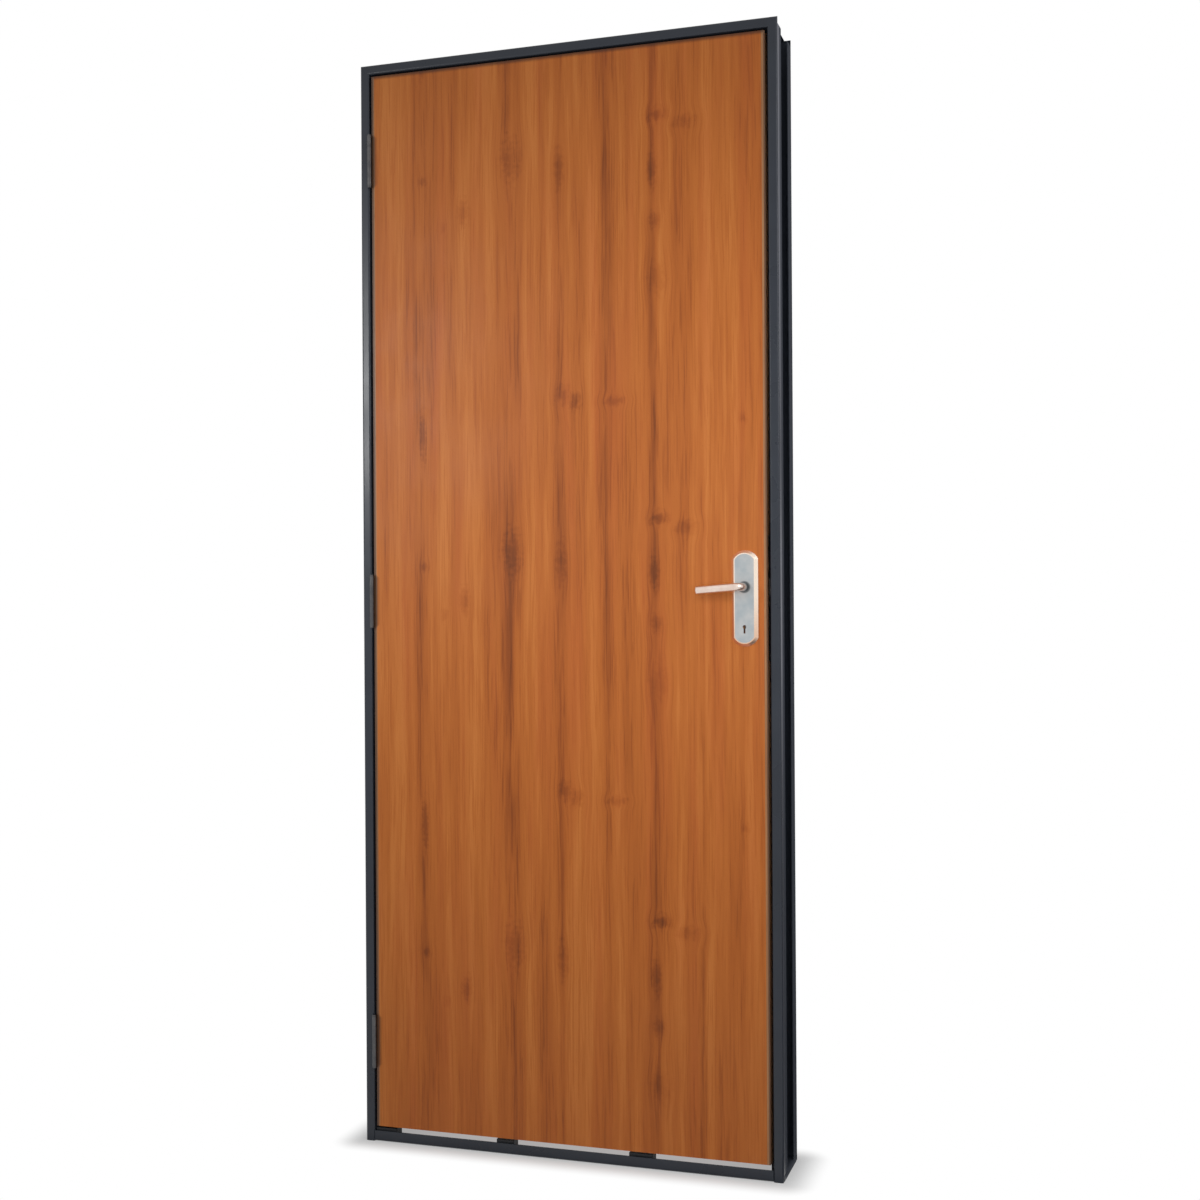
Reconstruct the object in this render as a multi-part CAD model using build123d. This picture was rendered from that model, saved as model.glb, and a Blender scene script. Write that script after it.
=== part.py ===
"""Wooden flush door, hung in a pressed-steel frame, as one assembly of separate pieces.

Millimetres, +Z up. The door is seen from its pull side looking along +Y: hinges at -X, lock at +X.
The origin is on the floor, under the sill, at the middle of the width and of the leaf's thickness.
"""

import os
from math import cos, radians, sin

from build123d import *

# Driving dimensions
LEAF_WIDTH = 800.0
LEAF_HEIGHT = 2100.0
LEAF_THICKNESS = 40.0
EDGE_GAP = 5.0
FRAME_FACE = 19.0
FRAME_DEPTH = 137.0
REBATE_DEPTH = 48.0
STOP_HEIGHT = 14.0
STEEL = 1.6
SILL_HEIGHT = 21.0
THRESHOLD_GAP = 10.0
CUT_PAST = 1.0

# Frame profile and corners
BEND_RADIUS = 2.4
RETURN_DEPTH = 36.0
CORNER_NOTCH = 12.0
FOOT_NOTCH = 12.0
FIXING_HOLE_RADIUS = 5.0
FIXING_PITCH = 500.0
FIXING_STEPS = (-1.5, -0.5, 0.5, 1.5)
FIXING_DEPTH = 82.0

# Sill and feet
SILL_STEEL = 3.0
SILL_LEG = 45.0
FOOT_HEIGHT = 10.0
FOOT_STEEL = 3.0
FOOT_MARGIN = 6.0
ANCHOR_HOLE_RADIUS = 4.5
ANCHOR_INSET = 1.0
PACKER_DEPTH = 26.0
PACKER_CLEARANCE = 5.0
PACKER_CHAMFER = 1.5
PACKERS = ((-382.0, 45.0), (-128.0, 36.0), (148.0, 47.0))

# Leaf construction
LIPPING = 6.5
LIPPING_ROUND = 1.0
SKIN = 3.0
STILE_WIDTH = 40.0
TOP_RAIL = 60.0
BOTTOM_RAIL = 90.0

# Hinges
HINGE_HEIGHT = 100.0
HINGE_INSET = 170.0
KNUCKLES = 5
KNUCKLE_GAP = 0.4
KNUCKLE_RADIUS = 4.2
PIN_RADIUS = 2.3
PIN_CLEARANCE = 0.1
PIN_HEAD_RADIUS = 3.8
PIN_HEAD = 2.5
PIN_PROUD = 5.0
PLATE_STEEL = 2.0
PLATE_DEPTH = 30.0

# Lock and keep
BACKSET = 42.0
SPINDLE_HEIGHT = 1101.0
FOREND_HEIGHT = 235.0
FOREND_WIDTH = 22.0
FOREND_STEEL = 3.0
FOREND_DROP = 20.0
CASE_HEIGHT = 165.0
CASE_DEPTH = 66.0
CASE_THICKNESS = 16.0
LATCH_SIZE = (20.0, 12.0, 30.0)
LATCH_BEVEL = 9.0
BOLT_SIZE = (20.0, 10.0, 28.0)
KEYHOLE_DROP = 74.0
BOLT_DROP = 52.0
KEY_EYE_RADIUS = 3.5
KEY_SLOT_WIDTH = 3.4
KEY_SLOT_LENGTH = 12.0
STRIKE_HEIGHT = 170.0
STRIKE_WIDTH = 26.0
STRIKE_HOLE_MARGIN = (1.5, 2.0)
STRIKE_BOX_DEPTH = 12.0
STRIKE_BOX_STEEL = 1.0
STRIKE_BOX_MARGIN = (3.0, 4.0)

# Lever and backplates
PLATE_WIDTH = 50.0
PLATE_HEIGHT = 179.0
PLATE_THICKNESS = 8.0
PLATE_EDGE = 2.4
PLATE_END_RADIUS = 27.5
PLATE_RIM = 5.0
PLATE_CENTRE_DROP = 21.0
COLLAR_RADIUS = 10.5
COLLAR_HEIGHT = 2.5
LEVER_RADIUS = 7.5
LEVER_REACH = 82.0
LEVER_STAND_OFF = 50.0
LEVER_DROOP = 4.2
LEVER_BEND_RADIUS = 12.0
LEVER_TIP_CHAMFER = 1.2
NECK_RADIUS = 8.0
NECK_CLEARANCE = 0.3
NECK_PROUD = 2.0
NECK_INSET = 1.0
SPINDLE_SIZE = 8.0
SPINDLE_BORE = 7.5

# Rubber buffers on the stop
BUFFER_RADIUS = 5.0
BUFFER_HEIGHT = 3.0
BUFFER_HEIGHTS = (320.0, 1240.0, 1850.0)

# Places that follow from the sizes above
FRONT = -LEAF_THICKNESS / 2
BACK = FRONT + FRAME_DEPTH
STOP = FRONT + REBATE_DEPTH
LEAF_SIDE = LEAF_WIDTH / 2
LEAF_BOTTOM = SILL_HEIGHT + THRESHOLD_GAP
LEAF_TOP = LEAF_BOTTOM + LEAF_HEIGHT
REBATE_SIDE = LEAF_SIDE + EDGE_GAP
REBATE_TOP = LEAF_TOP + EDGE_GAP
FRAME_SIDE = REBATE_SIDE + FRAME_FACE
FRAME_TOP = REBATE_TOP + FRAME_FACE
HINGE_X = -LEAF_SIDE - EDGE_GAP / 2
HINGE_Y = FRONT - PIN_PROUD
HINGE_CENTRES = {
    "bottom": LEAF_BOTTOM + HINGE_INSET,
    "middle": LEAF_BOTTOM + LEAF_HEIGHT / 2,
    "top": LEAF_TOP - HINGE_INSET,
}
SPINDLE_X = LEAF_SIDE - BACKSET
KEYHOLE_HEIGHT = SPINDLE_HEIGHT - KEYHOLE_DROP
FOREND_CENTRE = SPINDLE_HEIGHT - FOREND_DROP
BOLT_HEIGHT = SPINDLE_HEIGHT - BOLT_DROP
PLATE_CENTRE = SPINDLE_HEIGHT - PLATE_CENTRE_DROP


def block(x_range, y_range, z_range):
    """A square block between two values on each axis."""
    lows = [min(pair) for pair in (x_range, y_range, z_range)]
    sizes = [abs(pair[1] - pair[0]) for pair in (x_range, y_range, z_range)]
    return Pos(*lows) * Box(*sizes, align=(Align.MIN, Align.MIN, Align.MIN))


def round_bar(start, end, radius):
    """A round bar from one point to another."""
    run = Vector(*end) - Vector(*start)
    return extrude(Plane(origin=start, z_dir=run) * Circle(radius), amount=run.length)


def spindle_bar(near, far, height, radius):
    """A round bar from front to back, straight above or below the spindle or on its line."""
    return round_bar((SPINDLE_X, near, height), (SPINDLE_X, far, height), radius)


def bent_sheet(points, thickness, inside_radius):
    """The outline of a sheet bent at right angles along points, with its thickness to the left."""
    line = [Vector(*point) for point in points]
    runs = [(end - start).normalized() for start, end in zip(line, line[1:])]
    sides = [Vector(-run.Y, run.X) * thickness for run in runs]
    lefts = [run.cross(after).Z > 0 for run, after in zip(runs, runs[1:])]
    offset_line = [line[0] + sides[0]]
    for corner, before, after in zip(line[1:-1], sides, sides[1:]):
        offset_line.append(corner + before + after)
    offset_line.append(line[-1] + sides[-1])
    outside_radius = inside_radius + thickness
    near = [outside_radius if left else inside_radius for left in lefts]
    far = [inside_radius if left else outside_radius for left in lefts]
    with BuildSketch() as sheet:
        with BuildLine():
            FilletPolyline(*line, radius=near)
            FilletPolyline(*offset_line, radius=far)
            Line(line[0], offset_line[0])
            Line(line[-1], offset_line[-1])
        make_face()
    return sheet.sketch


def frame_profile():
    """The pressed profile: x runs outward from the rebate wall, y from the front face backward."""
    outer = FRAME_FACE
    points = [
        (outer, FRONT + RETURN_DEPTH),
        (outer, FRONT),
        (0, FRONT),
        (0, STOP),
        (-STOP_HEIGHT, STOP),
        (-STOP_HEIGHT, BACK),
        (outer, BACK),
        (outer, BACK - RETURN_DEPTH),
    ]
    return bent_sheet(points[::-1], STEEL, BEND_RADIUS)


def return_notch(low, high):
    """The cut that takes both returns off a jamb between two heights, leaving the bent faces."""
    bend = BEND_RADIUS + STEEL
    return block((FRAME_SIDE - bend, FRAME_SIDE + CUT_PAST), (FRONT + bend, BACK - bend), (low, high))


def jamb_blank():
    """The lock side's jamb without its holes: one pressed length, mitred at the top."""
    profile = Pos(REBATE_SIDE, 0, 0) * frame_profile()
    jamb = extrude(profile, amount=FRAME_TOP)
    mitre = Plane(origin=(REBATE_SIDE, 0, REBATE_TOP), z_dir=(-1, 0, 1))
    jamb = split(jamb, bisect_by=mitre, keep=Keep.BOTTOM)
    jamb -= return_notch(FRAME_TOP - CORNER_NOTCH, FRAME_TOP)
    jamb -= return_notch(0, FOOT_NOTCH)
    soffit = REBATE_SIDE - STOP_HEIGHT
    for step in FIXING_STEPS:
        height = LEAF_BOTTOM + LEAF_HEIGHT / 2 + step * FIXING_PITCH
        start = (soffit - CUT_PAST, FIXING_DEPTH, height)
        end = (soffit + STEEL + CUT_PAST, FIXING_DEPTH, height)
        jamb -= round_bar(start, end, FIXING_HOLE_RADIUS)
    return jamb


def jamb_lock_side():
    """The jamb that carries the keep, with an opening that the strike plate fills."""
    low = FOREND_CENTRE - STRIKE_HEIGHT / 2
    high = FOREND_CENTRE + STRIKE_HEIGHT / 2
    half = STRIKE_WIDTH / 2
    xs = (REBATE_SIDE - CUT_PAST, REBATE_SIDE + STEEL + CUT_PAST)
    opening = block(xs, (-half, half), (low, high))
    return jamb_blank() - opening


def jamb_hinge_side():
    """The jamb that the hinges are fixed to."""
    return mirror(jamb_blank(), about=Plane.YZ)


def head():
    """The head: the same profile along the top, mitred at both ends, returns notched at the corners."""
    plane = Plane(origin=(FRAME_SIDE, 0, REBATE_TOP), x_dir=(0, 0, 1), z_dir=(-1, 0, 0))
    piece = extrude(plane * frame_profile(), amount=2 * FRAME_SIDE)
    for side in (1, -1):
        mitre = Plane(origin=(side * REBATE_SIDE, 0, REBATE_TOP), z_dir=(-side, 0, 1))
        piece = split(piece, bisect_by=mitre, keep=Keep.TOP)
        bend = BEND_RADIUS + STEEL
        ends = (side * (FRAME_SIDE - CORNER_NOTCH), side * (FRAME_SIDE + CUT_PAST))
        piece -= block(ends, (FRONT + bend, BACK - bend), (FRAME_TOP - bend, FRAME_TOP + CUT_PAST))
    return piece


def sill_bar():
    """The steel angle that ties the feet of the jambs: upright leg in front, flat leg on the floor."""
    points = [(FRONT + SILL_LEG, 0), (FRONT, 0), (FRONT, SILL_HEIGHT)]
    angle = bent_sheet(points[::-1], SILL_STEEL, BEND_RADIUS)
    plane = Plane(origin=(-REBATE_SIDE, 0, 0), x_dir=(0, 1, 0), z_dir=(1, 0, 0))
    return extrude(plane * angle, amount=2 * REBATE_SIDE)


def foot_plate(side):
    """The floor plate in the hollow of a jamb: a hole for a floor bolt, outer edge turned down."""
    bend = BEND_RADIUS + STEEL
    inner = REBATE_SIDE + STEEL
    ys = (FRONT + bend + FOOT_MARGIN, BACK - bend - FOOT_MARGIN)
    points = [(inner, FOOT_HEIGHT), (FRAME_SIDE, FOOT_HEIGHT), (FRAME_SIDE, 0)]
    section = bent_sheet(points[::-1], FOOT_STEEL, BEND_RADIUS)
    plane = Plane(origin=(0, ys[0], 0), x_dir=(1, 0, 0), z_dir=(0, -1, 0))
    plate = extrude(plane * section, amount=-(ys[1] - ys[0]))
    tongue_ys = (STOP + STEEL + bend, ys[1])
    tongue_xs = (inner - STOP_HEIGHT + bend, inner)
    plate += block(tongue_xs, tongue_ys, (FOOT_HEIGHT - FOOT_STEEL, FOOT_HEIGHT))
    anchor = (REBATE_SIDE + ANCHOR_INSET, (tongue_ys[0] + tongue_ys[1]) / 2)
    plate -= round_bar((*anchor, 0), (*anchor, FOOT_HEIGHT + CUT_PAST), ANCHOR_HOLE_RADIUS)
    if side < 0:
        plate = mirror(plate, about=Plane.YZ)
    return plate


def packer(centre, width):
    """A plastic packer that stands on the sill's flat leg, just behind its upright leg."""
    front = FRONT + SILL_STEEL + BEND_RADIUS
    xs = (centre - width / 2, centre + width / 2)
    piece = block(xs, (front, front + PACKER_DEPTH), (SILL_STEEL, LEAF_BOTTOM - PACKER_CLEARANCE))
    return chamfer(piece.edges().filter_by(Axis.Z), PACKER_CHAMFER)


def buffer(height):
    """A rubber buffer pressed on the stop of the lock side's jamb."""
    across = REBATE_SIDE - STOP_HEIGHT / 2
    return round_bar((across, STOP, height), (across, STOP - BUFFER_HEIGHT, height), BUFFER_RADIUS)


def lock_cuts():
    """What is cut out of the leaf for the lock: forend, case, spindle and key."""
    edge = LEAF_SIDE
    forend_zs = (FOREND_CENTRE - FOREND_HEIGHT / 2, FOREND_CENTRE + FOREND_HEIGHT / 2)
    case_zs = (FOREND_CENTRE - CASE_HEIGHT / 2, FOREND_CENTRE + CASE_HEIGHT / 2)
    half_forend = FOREND_WIDTH / 2
    half_case = CASE_THICKNESS / 2
    cuts = block((edge - FOREND_STEEL, edge + CUT_PAST), (-half_forend, half_forend), forend_zs)
    cuts += block((edge - CASE_DEPTH, edge), (-half_case, half_case), case_zs)
    reach = LEAF_THICKNESS / 2 + CUT_PAST
    cuts += spindle_bar(-reach, reach, SPINDLE_HEIGHT, SPINDLE_BORE)
    return cuts + keyhole(reach)


def keyhole(reach):
    """The key's way through: a round eye over a slot, through everything within reach of the middle."""
    eye = spindle_bar(-reach, reach, KEYHOLE_HEIGHT, KEY_EYE_RADIUS)
    half = KEY_SLOT_WIDTH / 2
    zs = (KEYHOLE_HEIGHT - KEY_SLOT_LENGTH, KEYHOLE_HEIGHT)
    return eye + block((SPINDLE_X - half, SPINDLE_X + half), (-reach, reach), zs)


def skin(side):
    """A veneered board face between the two lippings: side -1 is the front, 1 the back."""
    outer = side * LEAF_THICKNESS / 2
    half = LEAF_SIDE - LIPPING
    board = block((-half, half), (outer - side * SKIN, outer), (LEAF_BOTTOM, LEAF_TOP))
    return board - lock_cuts()


def lipping(side):
    """The solid wood strip on a long edge of the leaf, as thick as the leaf."""
    half = LEAF_THICKNESS / 2
    xs = (side * (LEAF_SIDE - LIPPING), side * LEAF_SIDE)
    strip = block(xs, (-half, half), (LEAF_BOTTOM, LEAF_TOP))
    long_edges = strip.edges().filter_by(Axis.Z)
    outer_edges = long_edges.filter_by(lambda edge: abs(edge.center().X) > LEAF_SIDE - LIPPING / 2)
    strip = fillet(outer_edges, LIPPING_ROUND)
    return strip - lock_cuts() if side > 0 else strip


def stile(side):
    """The softwood upright behind a lipping, between the skins."""
    half = LEAF_THICKNESS / 2 - SKIN
    inner = LEAF_SIDE - LIPPING - STILE_WIDTH
    xs = (side * inner, side * (LEAF_SIDE - LIPPING))
    post = block(xs, (-half, half), (LEAF_BOTTOM, LEAF_TOP))
    return post - lock_cuts() if side > 0 else post


def rail(low, high):
    """A softwood rail between the stiles and the skins."""
    half = LEAF_THICKNESS / 2 - SKIN
    reach = LEAF_SIDE - LIPPING - STILE_WIDTH
    return block((-reach, reach), (-half, half), (low, high))


def core():
    """The filling between stiles, rails and skins."""
    return rail(LEAF_BOTTOM + BOTTOM_RAIL, LEAF_TOP - TOP_RAIL) - lock_cuts()


def lock_case():
    """The mortice lock's case, closed, with its pockets for the two bolts and the spindle's bore."""
    inner = LEAF_SIDE - CASE_DEPTH
    outer = LEAF_SIDE - FOREND_STEEL
    half = CASE_THICKNESS / 2
    zs = (FOREND_CENTRE - CASE_HEIGHT / 2, FOREND_CENTRE + CASE_HEIGHT / 2)
    case = block((inner, outer), (-half, half), zs)
    case -= bolt_block(LATCH_SIZE, SPINDLE_HEIGHT)
    case -= bolt_block(BOLT_SIZE, BOLT_HEIGHT)
    reach = half + CUT_PAST
    case -= spindle_bar(-reach, reach, SPINDLE_HEIGHT, SPINDLE_BORE)
    return case - keyhole(reach)


def bolt_block(size, height):
    """The square space that a bolt fills, from inside the case to the face of the forend."""
    length, thickness, tall = size
    xs = (LEAF_SIDE - length, LEAF_SIDE)
    return block(xs, (-thickness / 2, thickness / 2), (height - tall / 2, height + tall / 2))


def lock_forend():
    """The lock's face plate, flush in the leaf's edge, with the two bolts' holes."""
    half = FOREND_WIDTH / 2
    zs = (FOREND_CENTRE - FOREND_HEIGHT / 2, FOREND_CENTRE + FOREND_HEIGHT / 2)
    plate = block((LEAF_SIDE - FOREND_STEEL, LEAF_SIDE), (-half, half), zs)
    plate -= bolt_block(LATCH_SIZE, SPINDLE_HEIGHT)
    return plate - bolt_block(BOLT_SIZE, BOLT_HEIGHT)


def latch_bolt():
    """The spring latch, drawn back until its nose is level with the forend; the bevel faces the stop."""
    piece = bolt_block(LATCH_SIZE, SPINDLE_HEIGHT)
    nose = piece.edges().filter_by(Axis.Z).sort_by(Axis.X)[-2:].sort_by(Axis.Y)[-1]
    return chamfer(nose, LATCH_BEVEL)


def dead_bolt():
    """The dead bolt, unlocked, with its end level with the forend."""
    return bolt_block(BOLT_SIZE, BOLT_HEIGHT)


def strike_plate():
    """The keep's plate, flush in the rebate wall, with a hole for each bolt."""
    half = STRIKE_WIDTH / 2
    zs = (FOREND_CENTRE - STRIKE_HEIGHT / 2, FOREND_CENTRE + STRIKE_HEIGHT / 2)
    plate = block((REBATE_SIDE, REBATE_SIDE + STEEL), (-half, half), zs)
    xs = (REBATE_SIDE - CUT_PAST, REBATE_SIDE + STEEL + CUT_PAST)
    for size, height in ((LATCH_SIZE, SPINDLE_HEIGHT), (BOLT_SIZE, BOLT_HEIGHT)):
        half_hole = size[1] / 2 + STRIKE_HOLE_MARGIN[0]
        reach = size[2] / 2 + STRIKE_HOLE_MARGIN[1]
        plate -= block(xs, (-half_hole, half_hole), (height - reach, height + reach))
    return plate


def strike_box():
    """The thin box behind the keep that stops mortar from filling the bolts' holes."""
    inner = REBATE_SIDE + STEEL
    half = STRIKE_WIDTH / 2 + STRIKE_BOX_MARGIN[0]
    reach = STRIKE_HEIGHT / 2 + STRIKE_BOX_MARGIN[1]
    zs = (FOREND_CENTRE - reach, FOREND_CENTRE + reach)
    box = block((inner, inner + STRIKE_BOX_DEPTH), (-half, half), zs)
    wall = STRIKE_BOX_STEEL
    hollow_xs = (inner - CUT_PAST, inner + STRIKE_BOX_DEPTH - wall)
    return box - block(hollow_xs, (wall - half, half - wall), (zs[0] + wall, zs[1] - wall))


def knuckle_spans():
    """The low and high end of each knuckle, measured from the hinge's middle."""
    length = (HINGE_HEIGHT - (KNUCKLES - 1) * KNUCKLE_GAP) / KNUCKLES
    lows = [-HINGE_HEIGHT / 2 + step * (length + KNUCKLE_GAP) for step in range(KNUCKLES)]
    return [(low, low + length) for low in lows]


def hinge_half(centre, side, knuckles, bore):
    """Half a butt hinge: a plate on the edge of jamb or leaf (side -1 or 1) and its knuckles."""
    near = HINGE_X + side * (EDGE_GAP / 2 - PLATE_STEEL)
    far = HINGE_X + side * EDGE_GAP / 2
    spans = knuckle_spans()
    plate = block((near, far), (HINGE_Y, HINGE_Y + PLATE_DEPTH), (-HINGE_HEIGHT / 2, HINGE_HEIGHT / 2))
    room = KNUCKLE_RADIUS + KNUCKLE_GAP
    xs = (near - side * CUT_PAST, far + side * CUT_PAST)
    for index, (low, high) in enumerate(spans):
        if index in knuckles:
            plate += round_bar((HINGE_X, HINGE_Y, low), (HINGE_X, HINGE_Y, high), KNUCKLE_RADIUS)
        else:
            zs = (low - KNUCKLE_GAP, high + KNUCKLE_GAP)
            plate -= block(xs, (HINGE_Y - CUT_PAST, HINGE_Y + room), zs)
    reach = HINGE_HEIGHT / 2 + CUT_PAST
    plate -= round_bar((HINGE_X, HINGE_Y, -reach), (HINGE_X, HINGE_Y, reach), bore)
    return Pos(0, 0, centre) * plate


def hinge_pin(centre):
    """The hinge's pin with its two flat heads, just clear of the outer knuckles."""
    reach = HINGE_HEIGHT / 2 + KNUCKLE_GAP
    pin = round_bar((HINGE_X, HINGE_Y, -reach), (HINGE_X, HINGE_Y, reach), PIN_RADIUS)
    for end in (-1, 1):
        start = (HINGE_X, HINGE_Y, end * reach)
        stop = (HINGE_X, HINGE_Y, end * (reach + PIN_HEAD))
        pin += round_bar(start, stop, PIN_HEAD_RADIUS)
    return Pos(0, 0, centre) * pin


def plate_outline(margin):
    """The backplate's outline, seen square on: straight sides and arched ends, drawn in by margin."""
    half = PLATE_WIDTH / 2 - margin
    radius = PLATE_END_RADIUS - margin
    tall = PLATE_HEIGHT / 2 - margin
    rise = radius - (radius**2 - half**2) ** 0.5
    with BuildSketch() as outline:
        with BuildLine():
            Line((-half, rise - tall), (-half, tall - rise))
            ThreePointArc((-half, tall - rise), (0, tall), (half, tall - rise))
            Line((half, tall - rise), (half, rise - tall))
            ThreePointArc((half, rise - tall), (0, -tall), (-half, rise - tall))
        make_face()
    return outline.sketch


def backplate(side):
    """A lever's backplate: a sloped rim round a flat face, a collar for the neck and the keyhole."""
    face = side * LEAF_THICKNESS / 2
    base = Plane(origin=(SPINDLE_X, face, PLATE_CENTRE), x_dir=(-side, 0, 0), z_dir=(0, side, 0))
    plate = extrude(base * plate_outline(0), amount=PLATE_EDGE)
    top_plane = base.offset(PLATE_THICKNESS)
    rim = [base.offset(PLATE_EDGE) * plate_outline(0), top_plane * plate_outline(PLATE_RIM)]
    plate += loft(rim)
    collar_end = face + side * (PLATE_THICKNESS + COLLAR_HEIGHT)
    plate += spindle_bar(face, collar_end, SPINDLE_HEIGHT, COLLAR_RADIUS)
    bore = NECK_RADIUS + NECK_CLEARANCE
    past = collar_end + side
    plate -= spindle_bar(face - side, past, SPINDLE_HEIGHT, bore)
    return plate - keyhole(abs(past))


def lever(side):
    """A round-bar lever: neck out of the collar, a swept elbow, then the grip toward the hinges."""
    face = side * LEAF_THICKNESS / 2
    start = (SPINDLE_X, face + side * NECK_INSET, SPINDLE_HEIGHT)
    elbow = (SPINDLE_X, face + side * LEVER_STAND_OFF, SPINDLE_HEIGHT)
    drop = LEVER_REACH * sin(radians(LEVER_DROOP))
    tip = (SPINDLE_X - LEVER_REACH * cos(radians(LEVER_DROOP)), elbow[1], SPINDLE_HEIGHT - drop)
    path = FilletPolyline(start, elbow, tip, radius=LEVER_BEND_RADIUS)
    section = Plane(origin=start, z_dir=(0, side, 0)) * Circle(LEVER_RADIUS)
    bar = sweep(section, path=path)
    tip_edge = bar.edges().filter_by(GeomType.CIRCLE).sort_by(Axis.X)[0]
    bar = chamfer(tip_edge, LEVER_TIP_CHAMFER)
    neck_end = face + side * (PLATE_THICKNESS + COLLAR_HEIGHT + NECK_PROUD)
    bar += spindle_bar(start[1], neck_end, SPINDLE_HEIGHT, NECK_RADIUS)
    hole = block(*spindle_ranges())
    return bar - hole


def spindle_ranges():
    """The space of the square spindle that joins the two levers through the leaf."""
    half = SPINDLE_SIZE / 2
    reach = LEAF_THICKNESS / 2 + PLATE_THICKNESS + COLLAR_HEIGHT
    zs = (SPINDLE_HEIGHT - half, SPINDLE_HEIGHT + half)
    return (SPINDLE_X - half, SPINDLE_X + half), (-reach, reach), zs


def build():
    """Every node of the door, by name."""
    nodes = {
        "jamb_hinge_side": jamb_hinge_side(),
        "jamb_lock_side": jamb_lock_side(),
        "head": head(),
        "sill_bar": sill_bar(),
        "foot_plate_hinge_side": foot_plate(-1),
        "foot_plate_lock_side": foot_plate(1),
        "strike_plate": strike_plate(),
        "strike_box": strike_box(),
        "skin_front": skin(-1),
        "skin_back": skin(1),
        "lipping_hinge_edge": lipping(-1),
        "lipping_lock_edge": lipping(1),
        "stile_hinge_side": stile(-1),
        "stile_lock_side": stile(1),
        "top_rail": rail(LEAF_TOP - TOP_RAIL, LEAF_TOP),
        "bottom_rail": rail(LEAF_BOTTOM, LEAF_BOTTOM + BOTTOM_RAIL),
        "core": core(),
        "lock_case": lock_case(),
        "lock_forend": lock_forend(),
        "latch_bolt": latch_bolt(),
        "dead_bolt": dead_bolt(),
        "backplate_front": backplate(-1),
        "backplate_back": backplate(1),
        "lever_front": lever(-1),
        "lever_back": lever(1),
        "spindle": block(*spindle_ranges()),
    }
    for name, (centre, width) in zip(("left", "middle", "right"), PACKERS):
        nodes["packer_" + name] = packer(centre, width)
    for name, height in zip(("bottom", "middle", "top"), BUFFER_HEIGHTS):
        nodes["buffer_" + name] = buffer(height)
    outer_knuckles = range(0, KNUCKLES, 2)
    inner_knuckles = range(1, KNUCKLES, 2)
    for name, centre in HINGE_CENTRES.items():
        jamb_bore = PIN_RADIUS + PIN_CLEARANCE
        nodes["hinge_" + name + "_jamb_half"] = hinge_half(centre, -1, outer_knuckles, jamb_bore)
        nodes["hinge_" + name + "_leaf_half"] = hinge_half(centre, 1, inner_knuckles, PIN_RADIUS)
        nodes["hinge_" + name + "_pin"] = hinge_pin(centre)
    return nodes


def main():
    os.makedirs("parts", exist_ok=True)
    for name, shape in build().items():
        export_step(shape, os.path.join("parts", name + ".step"))


main()
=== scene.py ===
# %% [markdown]
# This lesson dresses a wooden flush door that hangs in a pressed-steel frame. Its pieces already exist at
# their real size, so the first step is to load them. A loaded piece is never moved or reshaped here: it
# only gets a finish. Everything is in metres, with X across the door, Y through it and Z upward.

# %% Load the door
from math import cos, pi, radians, sin

import bmesh
import bpy
from mathutils import Matrix, Vector


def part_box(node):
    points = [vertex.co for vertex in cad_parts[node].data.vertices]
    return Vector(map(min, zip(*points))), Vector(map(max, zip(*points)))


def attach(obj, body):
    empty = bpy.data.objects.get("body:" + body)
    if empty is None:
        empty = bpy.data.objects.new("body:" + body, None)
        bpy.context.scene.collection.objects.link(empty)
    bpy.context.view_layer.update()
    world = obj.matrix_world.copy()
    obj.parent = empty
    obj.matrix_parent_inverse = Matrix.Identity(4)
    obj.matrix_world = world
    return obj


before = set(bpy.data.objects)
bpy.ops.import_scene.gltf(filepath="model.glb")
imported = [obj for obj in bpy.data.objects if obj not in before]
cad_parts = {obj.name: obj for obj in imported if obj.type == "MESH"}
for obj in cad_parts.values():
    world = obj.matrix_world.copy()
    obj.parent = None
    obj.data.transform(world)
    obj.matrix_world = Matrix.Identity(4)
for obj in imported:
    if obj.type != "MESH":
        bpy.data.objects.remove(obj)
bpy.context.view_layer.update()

# %% [markdown]
# Small parts and finishes have to sit on the pieces that carry them. Instead of typing their places again,
# the lesson reads the boxes of the loaded pieces and keeps the few values that the later cells need.

# %% Places that the later cells need
skin_low, skin_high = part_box("skin_front")
leaf_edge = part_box("lipping_lock_edge")[1].x
leaf_bottom, leaf_top = skin_low.z, skin_high.z
leaf_front, leaf_back = skin_low.y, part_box("skin_back")[1].y
frame_low, frame_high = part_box("jamb_lock_side")
keep_low, keep_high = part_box("strike_plate")
forend_low, forend_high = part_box("lock_forend")
plate_low, plate_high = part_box("backplate_back")
spindle_low, spindle_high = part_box("spindle")
spindle_centre = (spindle_low + spindle_high) / 2
hinge_names = ("bottom", "middle", "top")
hinge_boxes = [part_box("hinge_" + name + "_leaf_half") for name in hinge_names]
hinge_heights = [(low.z, high.z) for low, high in hinge_boxes]
rebate_side = keep_low.x
rebate_top = frame_high.z - (frame_high.x - rebate_side)
print("leaf", round(2 * leaf_edge, 4), "wide and", round(leaf_top - leaf_bottom, 4), "tall")

# %% [markdown]
# The camera stands where the picture was taken: a little to the right of the door, at about chest height
# and level, turned back toward the door. Its place and its turn set the view, a trace of roll matches how
# it was held, and the lens sets how wide it sees. A level camera keeps the door's uprights parallel. The
# small shift lifts the view without tilting.

# %% Camera
CAMERA_PLACE = (0.9915, -2.8974, 1.0487)
CAMERA_TURN = radians(17.674)
CAMERA_ROLL = radians(0.332)
LENS = 47.388
LENS_SHIFT = 0.01344
SENSOR_WIDTH = 36.0

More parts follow.
